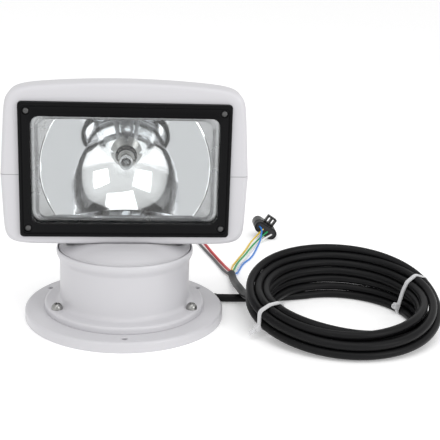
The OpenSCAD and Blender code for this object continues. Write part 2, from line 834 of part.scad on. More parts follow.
module wire_red() { color("red") tube(red_route, power_r); }
module wire_black() { color("gray") tube(black_route, power_r); }
module wire_yellow() { color("gold") tube(yellow_route, signal_r); }
module wire_green() { color("green") tube(green_route, signal_r); }
module wire_white() { color("white") tube(white_route, signal_r); }
module wire_blue() { color("royalblue") tube(blue_route, signal_r); }

// Flat oval across the connector
module oval(w, t) {
    square([w - t, t], center = true);
    for (s = [-1, 1]) translate([s * (w - t) / 2, 0]) circle(t / 2);
}

// The connector's own frame: its wires leave along -Y, its latch is on top
module at_connector() {
    translate(connector_at) rotate([0, connector_roll, 0]) rotate([-90, 0, 0]) children();
}

module connector_body() {
    color("black") at_connector() {
        translate([0, 0, 3]) linear_extrude(connector_l - 3) oval(connector_w, connector_t);
        linear_extrude(3) difference() {
            oval(connector_w, connector_t);
            oval(connector_w - 3, connector_t - 3);
        }
        translate([-latch_w / 2, -connector_t / 2 - latch_h, 6]) linear_extrude(latch_l) difference() {
            square([latch_w, latch_h + over]);
            for (y = [latch_bar, (latch_h + latch_bar) / 2]) translate([latch_bar, y])
                square([latch_w - 2 * latch_bar, (latch_h - 3 * latch_bar) / 2]);
        }
    }
}

module connector_seal() {
    color("darkslategray") at_connector() translate([0, 0, 1]) linear_extrude(2)
        oval(connector_w - 3, connector_t - 3);
}

// Tie round the stack of turns at an angle round the coil
module cable_tie(angle) {
    h = coil_h(coil_r * sin(angle)) + tie_slack;
    color("white") translate([coil_at[0], coil_at[1], coil_lift]) rotate(angle)
        translate([coil_r, tie_w / 2, h / 2]) rotate([90, 0, 0]) linear_extrude(tie_w) difference() {
            rounded(coil_w + 2 * tie_t, h + 2 * tie_t, coil_corner + tie_t);
            rounded(coil_w, h, coil_corner);
        }
}

module cable_tie_front() { cable_tie(204); }
module cable_tie_back() { cable_tie(18); }

base_flange();
column();
base_seal();
base_screws();
bottom_cover();
cable_grommet();
terminal_block();
pan_motor();
pan_pinion();
pan_bush();
turntable();
pan_gear();
retaining_ring();
yoke_arm_left();
yoke_arm_right();
arm_screws();
tilt_sector();
trunnion_pins();
tilt_motor();
tilt_bracket();
tilt_pinion();
upper_shell();
lower_shell();
seam_gasket();
shell_screws();
bezel();
bezel_screws();
lens_gasket();
lens();
reflector();
bulb();
bulb_holder();
bulb_clip();
cable_lead();
cable_coil();
cable_tail();
wire_red();
wire_black();
wire_yellow();
wire_green();
wire_white();
wire_blue();
connector_body();
connector_seal();
cable_tie_front();
cable_tie_back();
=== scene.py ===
"""Marine searchlight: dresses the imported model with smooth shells, lamp glass, screws, cable and wires.

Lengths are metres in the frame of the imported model: the base's middle is the origin, +Z is up and the
lamp looks along -Y.
"""

import json
import logging
from collections.abc import Callable, Iterator, Sequence
from contextlib import contextmanager
from dataclasses import dataclass, field
from enum import Enum
from math import asin, copysign, cos, pi, radians, sin, sqrt

import bmesh
import bpy
import numpy as np
from mathutils import Matrix, Vector


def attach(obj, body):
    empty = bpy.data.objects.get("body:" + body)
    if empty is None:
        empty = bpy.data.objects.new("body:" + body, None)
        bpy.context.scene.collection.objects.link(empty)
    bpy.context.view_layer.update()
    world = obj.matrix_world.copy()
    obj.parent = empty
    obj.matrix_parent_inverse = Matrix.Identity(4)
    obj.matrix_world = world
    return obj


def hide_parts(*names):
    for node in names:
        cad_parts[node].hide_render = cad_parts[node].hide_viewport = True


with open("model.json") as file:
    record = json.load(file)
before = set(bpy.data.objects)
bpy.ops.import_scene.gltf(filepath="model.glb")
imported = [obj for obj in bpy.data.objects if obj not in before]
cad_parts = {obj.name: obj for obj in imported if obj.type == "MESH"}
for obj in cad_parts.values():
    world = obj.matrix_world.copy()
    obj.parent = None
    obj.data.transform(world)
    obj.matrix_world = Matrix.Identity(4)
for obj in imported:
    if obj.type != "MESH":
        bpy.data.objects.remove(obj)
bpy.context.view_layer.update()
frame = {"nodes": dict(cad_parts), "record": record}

LOG = logging.getLogger("searchlight")
MM = 0.001
MERGE = 1e-7  # points closer than this are one point
WHITE = (1.0, 1.0, 1.0, 1.0)

Pair = tuple[float, float]
Point = tuple[float, float, float]
Ring = Sequence[Sequence[float]]
Piece = bpy.types.Object
Tree = bpy.types.NodeTree
Socket = bpy.types.NodeSocket
Wire = Callable[[Tree, bpy.types.NodeOutputs], Socket]


class Relief(Enum):
    """Fine surface that a finish shows close up."""

    GRAIN = "even grain"
    BRUSHED = "brushed lines"
    SMOOTH = "smooth"


class Cut(Enum):
    """What a carving tool does to a piece."""

    AWAY = "DIFFERENCE"
    KEEP = "INTERSECT"


# Shader nodes


def fill(tree: Tree, made: bpy.types.Node, inputs: dict[str | int, object]) -> None:
    """Give a node's inputs their values, or link them where a socket is given.

    Args:
        tree: Tree that holds the node.
        made: The node.
        inputs: Value or socket for each input.
    """
    for key, value in inputs.items():
        if isinstance(value, Socket):
            tree.links.new(value, made.inputs[key])
        else:
            made.inputs[key].default_value = value


def node(tree: Tree, kind: str, inputs: dict[str | int, object], operation: str = "") -> Socket:
    """Add a shader node and fill its inputs.

    Args:
        tree: Tree that gets the node.
        kind: Type of the node, without its first word.
        inputs: Value or socket for each input.
        operation: What a math node does.

    Returns:
        The node's first output.
    """
    made = tree.nodes.new("ShaderNode" + kind)
    if operation:
        made.operation = operation
    fill(tree, made, inputs)
    return made.outputs[0]


def own_place(tree: Tree) -> Socket:
    """Add the piece's own coordinates."""
    return tree.nodes.new("ShaderNodeTexCoord").outputs["Object"]


def wire_tone(tree: Tree, given: bpy.types.NodeOutputs) -> Socket:
    """Make a colour a little lighter and darker in patches.

    Args:
        tree: The group's tree.
        given: The group's inputs.

    Returns:
        The socket for the group's output.
    """
    patches = node(tree, "TexNoise", {"Detail": 3.0, "Vector": own_place(tree), "Scale": given["Scale"]})
    centred = node(tree, "Math", {0: patches, 1: 0.5}, "SUBTRACT")
    swing = node(tree, "Math", {0: centred, 1: given["Amount"], 2: 1.0}, "MULTIPLY_ADD")
    return node(tree, "HueSaturation", {"Value": swing, "Color": given["Colour"]})


def wire_gloss(tree: Tree, given: bpy.types.NodeOutputs) -> Socket:
    """Vary a surface's roughness, as handling and cleaning do."""
    patches = node(tree, "TexNoise", {"Detail": 5.0, "Vector": own_place(tree), "Scale": given["Scale"]})
    return node(tree, "Math", {0: patches, 1: given["Spread"], 2: given["Roughness"]}, "MULTIPLY_ADD")


def wire_relief(tree: Tree, given: bpy.types.NodeOutputs) -> Socket:
    """Give the height of a fine grain, drawn out along Z by its stretch.

    Args:
        tree: The group's tree.
        given: The group's inputs.

    Returns:
        The socket for the group's output.
    """
    stretch = node(tree, "CombineXYZ", {"X": 1.0, "Y": 1.0, "Z": given["Stretch"]})
    drawn = node(tree, "VectorMath", {0: own_place(tree), 1: stretch}, "MULTIPLY")
    return node(tree, "TexNoise", {"Detail": 2.0, "Vector": drawn, "Scale": given["Scale"]})


def effect(tree: Tree, name: str, output: str, wire: Wire, **values: object) -> Socket:
    """Place a shared effect in a material, with its own values; its group is built the first time.

    Args:
        tree: The material's tree.
        name: Name of the effect's group.
        output: Name of the group's output.
        wire: Function that fills the group and gives the socket for its output.
        **values: Value of each input.

    Returns:
        The placed group's output.
    """
    group = bpy.data.node_groups.get(name)
    if group is None:
        group = bpy.data.node_groups.new(name, "ShaderNodeTree")
        for label, way in (*((label, "INPUT") for label in values), (output, "OUTPUT")):
            kind = "NodeSocketColor" if label == "Colour" else "NodeSocketFloat"
            group.interface.new_socket(label, in_out=way, socket_type=kind)
        result = wire(group, group.nodes.new("NodeGroupInput").outputs)
        group.links.new(result, group.nodes.new("NodeGroupOutput").inputs[output])
    made = tree.nodes.new("ShaderNodeGroup")
    made.node_tree = group
    fill(tree, made, values)
    return made.outputs[output]


# Finishes


@dataclass(frozen=True)
class Finish:
    """Look of one material slot of the record."""

    slot: str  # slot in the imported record
    colour: Point  # base colour, linear
    roughness: float  # least roughness of the surface
    metallic: float = 0.0  # 1 for bare or plated metal
    coat: float = 0.0  # weight of a clear coat
    drift: float = 0.06  # how far the tone swings
    patch: float = 0.04  # size of a patch of tone
    spread: float = 0.06  # how far the roughness rises in patches
    relief: Relief = Relief.GRAIN  # kind of fine relief
    grain: float = 0.0009  # size of the relief's grain
    depth: float = 0.00001  # height of the relief
    transmission: float = 0.0  # 1 for clear glass
    ior: float = 1.5  # index of refraction
    specular: float = 0.5  # strength of the mirror-like reflection, 0.5 for plain plastic
    coat_roughness: float = 0.04  # roughness of the clear coat
    gloss_patch: float = 0.6  # scale of the patches of gloss to those of tone
    brushing: float = 0.04  # how far brushed lines are drawn out

    def material(self) -> bpy.types.Material:
        """Build the slot's material once and hand it back.

        Returns:
            The material.
        """
        name = self.slot + " finish"
        made = bpy.data.materials.get(name)
        if made is not None:
            return made
        made = bpy.data.materials.new(name)
        made.use_nodes = True
        tree = made.node_tree
        inputs = {
            "Metallic": self.metallic,
            "Coat Weight": self.coat,
            "Coat Roughness": self.coat_roughness,
            "Transmission Weight": self.transmission,
            "IOR": self.ior,
            "Specular IOR Level": self.specular,
            "Base Color": effect(tree, "tone drift", "Colour", wire_tone, Colour=(*self.colour, 1.0),
                                 Amount=self.drift, Scale=1.0 / self.patch),
            "Roughness": effect(tree, "gloss drift", "Roughness", wire_gloss, Roughness=self.roughness,
                                Spread=self.spread, Scale=self.gloss_patch / self.patch),
        }
        if self.relief is not Relief.SMOOTH:
            stretch = self.brushing if self.relief is Relief.BRUSHED else 1.0
            height = effect(tree, "fine relief", "Height", wire_relief, Scale=1.0 / self.grain,
                            Stretch=stretch)
            inputs["Normal"] = node(tree, "Bump", {"Distance": self.depth, "Height": height})
        fill(tree, tree.nodes["Principled BSDF"], inputs)
        return made


FINISHES = {
    finish.slot: finish
    for finish in (
        Finish("white_gloss", (0.565, 0.559, 0.581), 0.32, coat=0.12, drift=0.03, patch=0.06, spread=0.08,
               grain=0.0035),
        Finish("black_gloss", (0.004, 0.004, 0.0045), 0.2, drift=0.2, spread=0.1, grain=0.0006,
               depth=0.000006, specular=0.09),
        Finish("rubber", (0.018, 0.018, 0.019), 0.55, grain=0.0005),
        Finish("grey_rubber", (0.3, 0.3, 0.31), 0.6, grain=0.0005),
        Finish("stainless", (0.33, 0.33, 0.32), 0.24, metallic=1.0, spread=0.12, patch=0.004,
               relief=Relief.BRUSHED, grain=0.0004, depth=0.000006),
        Finish("dark_steel", (0.11, 0.11, 0.11), 0.3, metallic=1.0, relief=Relief.BRUSHED, grain=0.0004,
               depth=0.000006),
        Finish("motor_steel", (0.42, 0.42, 0.43), 0.34, metallic=1.0, relief=Relief.BRUSHED, grain=0.0006),
        Finish("yoke_alloy", (0.5, 0.5, 0.51), 0.45, metallic=1.0, grain=0.0012, depth=0.00002),
        Finish("brass", (0.62, 0.44, 0.17), 0.3, metallic=1.0, relief=Relief.BRUSHED, grain=0.0005),
        Finish("bush_plastic", (0.72, 0.66, 0.52), 0.5),
        Finish("grey_plastic", (0.2, 0.2, 0.21), 0.45),
        Finish("ivory_plastic", (0.78, 0.73, 0.62), 0.42),
        Finish("clear_glass", (0.97, 0.985, 0.98), 0.0, drift=0.0, spread=0.012, relief=Relief.SMOOTH,
               transmission=1.0, ior=1.47),
        Finish("bulb_glass", (0.97, 0.985, 0.99), 0.0, drift=0.0, spread=0.02, relief=Relief.SMOOTH,
               transmission=1.0, ior=1.3),
        Finish("mirror_coat", (0.88, 0.885, 0.9), 0.035, metallic=1.0, drift=0.02, spread=0.03, patch=0.02,
               grain=0.02, depth=0.00008),
        # painted shade: a darker copy of the mirror plating, so the reflector's flat flange shows a dimmer
        # reflection than the dish
        Finish("shaded_mirror_coat", (0.43, 0.43, 0.44), 0.24, metallic=1.0, drift=0.05, patch=0.02, grain=0.0008),
        Finish("cable_black", (0.004, 0.004, 0.0045), 0.36, drift=0.35, patch=0.03, spread=0.12, grain=0.0007,
               depth=0.000012, specular=0.17),
        Finish("wire_red", (0.55, 0.012, 0.02), 0.34),
        Finish("wire_black", (0.05, 0.05, 0.055), 0.34),
        Finish("wire_yellow", (0.78, 0.52, 0.04), 0.34),
        Finish("wire_green", (0.02, 0.33, 0.11), 0.34),
        Finish("wire_white", (0.8, 0.8, 0.8), 0.34),
        Finish("wire_blue", (0.03, 0.2, 0.62), 0.34),
        Finish("connector_black", (0.008, 0.008, 0.008), 0.34, grain=0.0005, specular=0.3),
        Finish("tie_white", (0.62, 0.62, 0.63), 0.36, coat=0.1),
    )
}


# Outlines and places


def metres(points: Sequence[Sequence[float]]) -> list[Point]:
    """Turn points in millimetres into metres."""
    return [tuple(v * MM for v in p) for p in points]


def moved(pairs: Sequence[Pair], first: float, second: float) -> list[Pair]:
    """Add steps in millimetres to a start in metres.

    Args:
        pairs: Steps along the section's two directions.
        first: Start along the first direction.
        second: Start along the second direction.

    Returns:
        The places in metres.
    """
    return [(first + a * MM, second + b * MM) for a, b in pairs]


def rounded_corner(centre: Pair, radius: float, first: float, last: float, steps: int = 6) -> list[Pair]:
    """Points of an arc, for a profile's rounded corner.

    Args:
        centre: Middle of the arc.
        radius: Radius of the arc.
        first: Angle of its first point, in degrees.
        last: Angle of its last point, in degrees.
        steps: Parts that the arc is cut into.

    Returns:
        The points of the arc.
    """
    angles = np.radians(np.linspace(first, last, steps + 1))
    return [(centre[0] + radius * cos(a), centre[1] + radius * sin(a)) for a in angles]


def rounded_frame(width: float, height: float, radius: float, steps: int = 10) -> list[Pair]:
    """Corners of a rounded rectangle about the origin, anticlockwise.

    Args:
        width: Size along the first axis.
        height: Size along the second axis.
        radius: Corner radius.
        steps: Parts of each corner.

    Returns:
        The points round the rectangle.
    """
    points = []
    for turn, (sx, sy) in enumerate(((1, 1), (-1, 1), (-1, -1), (1, -1))):
        centre = (sx * (width / 2 - radius), sy * (height / 2 - radius))
        points += rounded_corner(centre, radius, 90 * turn, 90 * turn + 90, steps)
    return points


def bar(radius: float, low: float, high: float) -> list[Pair]:
    """Profile of a solid round bar from low to high."""
    return [(0, low), (radius, low), (radius, high), (0, high)]


def along_y(x: float, y: float, z: float) -> Matrix:
    """Place whose Z axis points back along +Y."""
    return Matrix.Translation((x, y, z)) @ Matrix.Rotation(-pi / 2, 4, "X")


def along_x(x: float, y: float, z: float) -> Matrix:
    """Place whose Z axis points along +X."""
    return Matrix.Translation((x, y, z)) @ Matrix.Rotation(pi / 2, 4, "Y")


def round_z(angle: float, radius: float, height: float) -> Matrix:
    """Place at an angle in degrees, a radius and a height round the base's axis."""
    return Matrix.Rotation(radians(angle), 4, "Z") @ Matrix.Translation((radius, 0, height))


# Mesh tools


def placed(name: str, data: bpy.types.ID) -> Piece:
    """Make an object of some data and link it to the scene.

    Args:
        name: Name of the object.
        data: Mesh, curve, light or camera.

    Returns:
        The new object.
    """
    made = bpy.data.objects.new(name, data)
    bpy.context.scene.collection.objects.link(made)
    return made


@contextmanager
def reworked(mesh: bpy.types.Mesh) -> Iterator[bmesh.types.BMesh]:
    """Open a mesh for editing and write it back afterwards.

    Args:
        mesh: Mesh to edit.

    Yields:
        The mesh's editable copy.
    """
    work = bmesh.new()
    work.from_mesh(mesh)
    yield work
    work.to_mesh(mesh)
    work.free()


def mesh_piece(name: str, points: Sequence[Sequence[float]], faces: Sequence[Sequence[int]]) -> Piece:
    """Make a piece from points and faces, with its faces turned outwards.

    Args:
        name: Name of the piece.
        points: Corners in metres.
        faces: Corner numbers of each face.

    Returns:
        The new piece.
    """
    mesh = bpy.data.meshes.new(name)
    mesh.from_pydata([tuple(p) for p in points], [], [tuple(f) for f in faces])
    with reworked(mesh) as work:
        bmesh.ops.recalc_face_normals(work, faces=work.faces)
    return placed(name, mesh)


def loft(name: str, rings: Sequence[Ring], closed: bool = False, caps: bool = True) -> Piece:
    """Skin a row of rings with the same number of points.

    Args:
        name: Name of the piece.
        rings: Rings of points, in order.
        closed: True joins the last ring to the first.
        caps: True closes both ends of a row that isn't closed.

    Returns:
        The lofted piece.
    """
    count, sides = len(rings), len(rings[0])
    faces = []
    for i in range(count if closed else count - 1):
        low, high = i * sides, (i + 1) % count * sides
        faces += [(low + k, low + (k + 1) % sides, high + (k + 1) % sides, high + k) for k in range(sides)]
    if caps and not closed:
        faces += [tuple(range(sides)), tuple((count - 1) * sides + k for k in range(sides))]
    return mesh_piece(name, [p for ring in rings for p in ring], faces)


def ring_at(place: Matrix, outline: Sequence[Pair], z: float) -> list[Vector]:
    """Set a flat outline at a height in a place."""
    return [place @ Vector((x, y, z)) for x, y in outline]


def prism(name: str, place: Matrix, outline: Sequence[Pair], low: float, high: float) -> Piece:
    """Make a straight piece with an outline, from low to high along the place's Z axis."""
    return loft(name, [ring_at(place, outline, z) for z in (low, high)])


def oblong(x: float, y: float) -> list[Pair]:
    """Corners of a rectangle that reaches x and y from its middle."""
    return [(-x, -y), (x, -y), (x, y), (-x, y)]


def block(name: str, low: Point, high: Point) -> Piece:
    """Make a carving block between two corners."""
    corners = [(low[0], low[1]), (high[0], low[1]), (high[0], high[1]), (low[0], high[1])]
    return prism(name, Matrix(), corners, low[2], high[2])


def turned(name: str, profile: Sequence[Pair], place: Matrix, steps: int) -> Piece:
    """Turn a closed profile about the place's Z axis.

    Args:
        name: Name of the piece.
        profile: Radius and height of each corner, all the way round the section.
        place: Where the axis and its foot lie.
        steps: Facets round the axis.

    Returns:
        The turned piece.
    """
    turns = [2 * pi * k / steps for k in range(steps)]
    rings = [[place @ Vector((r * cos(a), r * sin(a), z)) for r, z in profile] for a in turns]
    piece = loft(name, rings, closed=True)
    with reworked(piece.data) as work:
        bmesh.ops.remove_doubles(work, verts=work.verts, dist=MERGE)
        bmesh.ops.dissolve_degenerate(work, edges=work.edges, dist=MERGE / 10)
        bmesh.ops.recalc_face_normals(work, faces=work.faces)
    return piece


def tube(name: str, route: Sequence[Vector], radius: float, sides: int = 8) -> Piece:
    """Make a round tube with flat ends along a route.

    Args:
        name: Name of the piece.
        route: Points that its middle passes through.
        radius: Radius of the tube.
        sides: Facets round the tube.

    Returns:
        The tube.
    """
    rings = []
    across = Vector((0.0, 0.0, 1.0))
    for k, middle in enumerate(route):
        ahead = (route[min(k + 1, len(route) - 1)] - route[max(k - 1, 0)]).normalized()
        across = (across - ahead * across.dot(ahead)).normalized()
        side = ahead.cross(across)
        rings.append([middle + radius * (cos(a) * across + sin(a) * side)
                      for a in np.linspace(0, 2 * pi, sides, endpoint=False)])
    return loft(name, rings)


def apply_steps(piece: Piece) -> None:
    """Write a piece's modifiers into its mesh.

    Args:
        piece: Piece with the modifiers.
    """
    mesh = bpy.data.meshes.new_from_object(piece.evaluated_get(bpy.context.evaluated_depsgraph_get()))
    piece.modifiers.clear()
    piece.data = mesh


def carve(piece: Piece, tool: Piece, cut: Cut = Cut.AWAY) -> None:
    """Cut a piece with a tool and write the cut into its mesh.

    Args:
        piece: Piece that is cut.
        tool: Closed mesh that cuts it, which is used up.
        cut: What the tool does.
    """
    step = piece.modifiers.new("carve", "BOOLEAN")
    step.operation, step.solver, step.object = cut.value, "EXACT", tool
    apply_steps(piece)
    bpy.data.objects.remove(tool)


def soften(piece: Piece, angle: float) -> None:
    """Shade a mesh smooth, with creases where faces meet at more than an angle in degrees."""
    piece.data.polygons.foreach_set("use_smooth", [True] * len(piece.data.polygons))
    piece.data.set_sharp_from_angle(angle=radians(angle))


def joined(name: str, pieces: Sequence[Piece]) -> Piece:
    """Put several meshes, which are used up, into one piece.

    Args:
        name: Name of the new piece.
        pieces: Pieces to put together.

    Returns:
        The one piece.
    """
    mesh = bpy.data.meshes.new(name)
    with reworked(mesh) as work:
        for piece in pieces:
            work.from_mesh(piece.data)
            bpy.data.objects.remove(piece)
    return placed(name, mesh)


def dress(piece: Piece, slot: str, body: str, *nodes: str, crease: float = 0.0, finish: str = "") -> Piece:
    """Give a piece its finish and its body, and let it stand for its CAD nodes.

    Args:
        piece: Piece to dress.
        slot: Material slot of the record.
        body: Body that it rides on.
        *nodes: CAD nodes that it stands for.
        crease: Angle in degrees from which its edges stay sharp, 0 to leave them.
        finish: Finish where it isn't the slot's own.

    Returns:
        The same piece.
    """
    if crease:
        soften(piece, crease)
    piece.data.materials.clear()
    piece.data.materials.append(FINISHES[finish or slot].material())
    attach(piece, body)
    if nodes:
        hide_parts(*nodes)
    LOG.info("%s rides on %s as %s", piece.name, body, slot)
    return piece


# Studio


@dataclass
class Studio:
    """Pale floor, soft lights, white surround and the photograph's camera."""

    eye: Point = (0.0, -0.76193, 0.3097)
    yaw: float = radians(5.86)
    pitch: float = radians(16.51)
    roll: float = radians(2.07)
    focal_pixels: float = 962.45
    frame_pixels: float = 440.0
    sensor: float = 36.0
    floor_half: float = 6.0
    floor_tone: float = 0.9
    floor_roughness: float = 0.7
    floor_glow: float = 0.25
    surround: float = 0.8

    def build(self) -> None:
        """Make the camera, floor, surround and lights."""
        self.add_camera()
        self.add_floor()
        self.add_surround()
        self.add_light("left softbox", (-1.0, -1.5, 1.0), (0.0, 0.0, 0.12), 1.1, 3.5)
        self.add_light("right softbox", (1.3, -1.3, 0.8), (0.05, 0.0, 0.1), 0.8, 7.5)
        self.add_light("top softbox", (0.15, -0.6, 1.8), (0.05, 0.0, 0.0), 1.4, 8.5)
        bpy.context.scene.view_settings.view_transform = "Standard"

    def add_camera(self) -> None:
        """Set the camera as fitted to the photograph."""
        ahead = Vector((sin(self.yaw) * cos(self.pitch), cos(self.yaw) * cos(self.pitch), -sin(self.pitch)))
        level = Vector((cos(self.yaw), -sin(self.yaw), 0.0))
        up = level.cross(ahead)
        side = cos(self.roll) * level + sin(self.roll) * up
        top = cos(self.roll) * up - sin(self.roll) * level
        data = bpy.data.cameras.new("photo camera")
        data.sensor_width = self.sensor
        data.lens = self.sensor * self.focal_pixels / self.frame_pixels
        camera = placed("photo camera", data)
        camera.matrix_world = Matrix.Translation(self.eye) @ Matrix((side, top, -ahead)).transposed().to_4x4()
        bpy.context.scene.camera = camera

    def add_floor(self) -> None:
        """Lay the plain pale floor."""
        corners = [(x, y, 0) for x, y in oblong(self.floor_half, self.floor_half)]
        floor = mesh_piece("floor", corners, [(0, 1, 2, 3)])
        made = bpy.data.materials.new("pale floor")
        made.use_nodes = True
        fill(made.node_tree, made.node_tree.nodes["Principled BSDF"], {
            "Base Color": (self.floor_tone, self.floor_tone, self.floor_tone, 1.0),
            "Roughness": self.floor_roughness, "Emission Color": WHITE, "Emission Strength": self.floor_glow})
        floor.data.materials.append(made)

    def add_surround(self) -> None:
        """Surround the scene with even white light."""
        world = bpy.data.worlds.new("white surround")
        world.use_nodes = True
        light = world.node_tree.nodes["Background"]
        fill(world.node_tree, light, {"Color": WHITE, "Strength": self.surround})
        bpy.context.scene.world = world

    def add_light(self, name: str, place: Point, aim: Point, size: float, power: float) -> None:
        """Hang one softbox.

        Args:
            name: Name of the light.
            place: Where it hangs.
            aim: Point that it faces.
            size: Side of the square box.
            power: Watts.
        """
        data = bpy.data.lights.new(name, "AREA")
        data.size, data.energy = size, power
        light = placed(name, data)
        light.location = place
        light.rotation_euler = (Vector(place) - Vector(aim)).to_track_quat("Z", "Y").to_euler()


# Supply cable


def cord_along(name: str, route: Sequence[Point], diameter: float) -> Piece:
    """Make a round cord along a route.

    Args:
        name: Name of the piece.
        route: Points that its middle passes through.
        diameter: Thickness of the cord.

    Returns:
        The cord as a curve.
    """
    data = bpy.data.curves.new(name, "CURVE")
    data.dimensions = "3D"
    data.bevel_depth, data.bevel_resolution, data.resolution_u = diameter / 2, 5, 4
    data.use_fill_caps = True
    line = data.splines.new("BEZIER")
    line.bezier_points.add(len(route) - 1)
    for knot, place in zip(line.bezier_points, route):
        knot.co = place
        knot.handle_left_type = knot.handle_right_type = "AUTO"
    return placed(name, data)


@dataclass
class SupplyCable:
    """Supply cable in its tied coil, its six wires, the ties and the connector."""

    diameter: float = 7 * MM
    clear: float = 7.0 * MM  # least distance between the middles of two strands
    middle: Pair = (182 * MM, -22 * MM)
    joins_at: float = 120.0  # where the lead joins the coil, in degrees
    leaves_at: float = 172.5  # where the tail leaves it
    whole_turns: int = 6
    steps: int = 48  # steps in one turn
    lead_steps: int = 5  # steps of the lead that lie under the coil
    climb_from: float = 0.25  # part of a turn before the last strand climbs
    climb_span: float = 0.6  # part of a turn over which the strands start to climb
    climb_steps: float = 9.2  # steps that one climb takes
    settle_rounds: int = 500
    pull: float = 0.02  # share of the way back to its goal in a round
    smooth: float = 0.25  # share of the way to its neighbours' middle in a round
    lead_y: float = 25 * MM
    lead_points: tuple[Point, ...] = ((62, 25, 4), (70, 25, 4), (78, 25, 4), (86, 25, 3.9), (92, 25, 3.8),
                                      (106, 25.4, 3.6), (122, 26.2, 3.5))
    tail_points: tuple[Point, ...] = ((102.6, 4, 15), (101, 20, 13), (100.3, 32, 11.4), (100, 44, 9),
                                      (100, 56, 6.6), (100, 68, 4.8), (100, 79, 3.9), (100, 89, 3.6))
    front_slots: tuple[Pair, ...] = ((62, 3.5), (69.6, 3.5), (70.4, 10.6), (63.5, 12.6),
                                     (65.5, 21.5), (72.5, 16.8), (77.6, 10.6), (77.6, 3.5))
    back_slots: tuple[Pair, ...] = ((58.5, 3.5), (60.3, 10.3), (62.4, 17), (65, 23.5),
                                    (68.1, 29.8), (71.2, 36.1), (74.3, 42.4), (79, 30))
    turns: np.ndarray = field(default_factory=lambda: np.zeros((0, 2)))
    angles: np.ndarray = field(default_factory=lambda: np.zeros(0))

    def build(self) -> None:
        """Wind the coil, then lay the cable, wires, connector and ties."""
        self.wind()
        self.lay_cable()
        Wires().build()
        CoilTie("tie_front", 204.0, "cable_tie_front", -18.0, 6 * MM).build(self)
        CoilTie("tie_back", 18.0, "cable_tie_back", 222.0, 2.5 * MM).build(self)

    def slot_place(self, index: int, lift: float) -> np.ndarray:
        """Place of one slot in the coil's section.

        Args:
            index: Slot, counted in winding order.
            lift: 0 at the coil's front, 1 at its back.

        Returns:
            Radius and height in metres.
        """
        index = min(index, len(self.front_slots) - 1)
        front, back = np.array(self.front_slots[index]), np.array(self.back_slots[index])
        return (front * (1 - lift) + back * lift) * MM

    def wound_place(self, step: int) -> np.ndarray:
        """Place of the cable at one step of the winding, before it settles.

        Each strand keeps its slot round the coil's back and then climbs to the next one. Later strands
        climb first, so each one moves into a slot that is already free.

        Args:
            step: Step, counted from where the lead joins the coil.

        Returns:
            Radius and height in metres.
        """
        strand, within = divmod(step, self.steps)
        lift = (1 + sin(radians(self.joins_at - step * 360 / self.steps))) / 2
        later = (self.whole_turns - strand) / (self.whole_turns + 1)
        part = (within - self.steps * (self.climb_from + self.climb_span * later)) / self.climb_steps
        part = min(max(part, 0.0), 1.0)
        part = part * part * (3 - 2 * part)
        return self.slot_place(strand, lift) * (1 - part) + self.slot_place(strand + 1, lift) * part

    def wind(self) -> None:
        """Wind the turns and let them settle a diameter apart, above the floor and over the lead."""
        step_angle = 360 / self.steps
        last = (self.joins_at - self.leaves_at) % 360 / step_angle + self.whole_turns * self.steps
        rise = self.lead_y - self.middle[1]
        under = [(rise / sin(radians(self.joins_at + k * step_angle)), self.diameter / 2)
                 for k in range(self.lead_steps, 0, -1)]
        goal = np.array(under + [self.wound_place(step) for step in range(round(last) + 1)])
        self.turns = self.settled(goal, np.arange(len(goal)) >= self.lead_steps)[self.lead_steps:]
        self.angles = self.joins_at - step_angle * np.arange(len(self.turns))

    def settled(self, goal: np.ndarray, free: np.ndarray) -> np.ndarray:
        """Push the strands of each section apart, keeping the cable smooth and near its goal.

        Args:
            goal: Radius and height at each step.
            free: Which steps may move.

        Returns:
            Radius and height at each step once settled.
        """
        places = goal.copy()
        for _ in range(self.settle_rounds):
            places[free] += self.pull * (goal - places)[free]
            between = places.copy()
            between[1:-1] = (places[:-2] + places[2:]) / 2
            places[free] += self.smooth * (between - places)[free]
            for first in range(self.steps):
                rows = np.arange(first, len(places), self.steps)
                same = np.eye(len(rows))
                apart = places[rows][:, None] - places[rows][None]
                far = np.sqrt((apart**2).sum(-1)) + same
                push = np.maximum(self.clear - far, 0.0) * (1 - same) / 2
                places[rows] += (apart / far[..., None] * push[..., None]).sum(1) * free[rows][:, None]
            places[:, 1] = np.maximum(places[:, 1], self.diameter / 2)
        return places

    def coil_point(self, radius: float, height: float, angle: float) -> Point:
        """Point in the frame at a radius, height and angle round the coil."""
        turn = radians(angle)
        return (self.middle[0] + radius * cos(turn), self.middle[1] + radius * sin(turn), height)

    def lay_cable(self) -> None:
        """Lay the cable from the base through its coil to the stripped end."""
        coil = [self.coil_point(r, z, a) for (r, z), a in zip(self.turns, self.angles)]
        route = metres(self.lead_points) + coil[1:] + metres(self.tail_points)
        cable = cord_along("supply_cable", route, self.diameter)
        dress(cable, "cable_black", "base", "cable_lead", "cable_coil", "cable_tail")


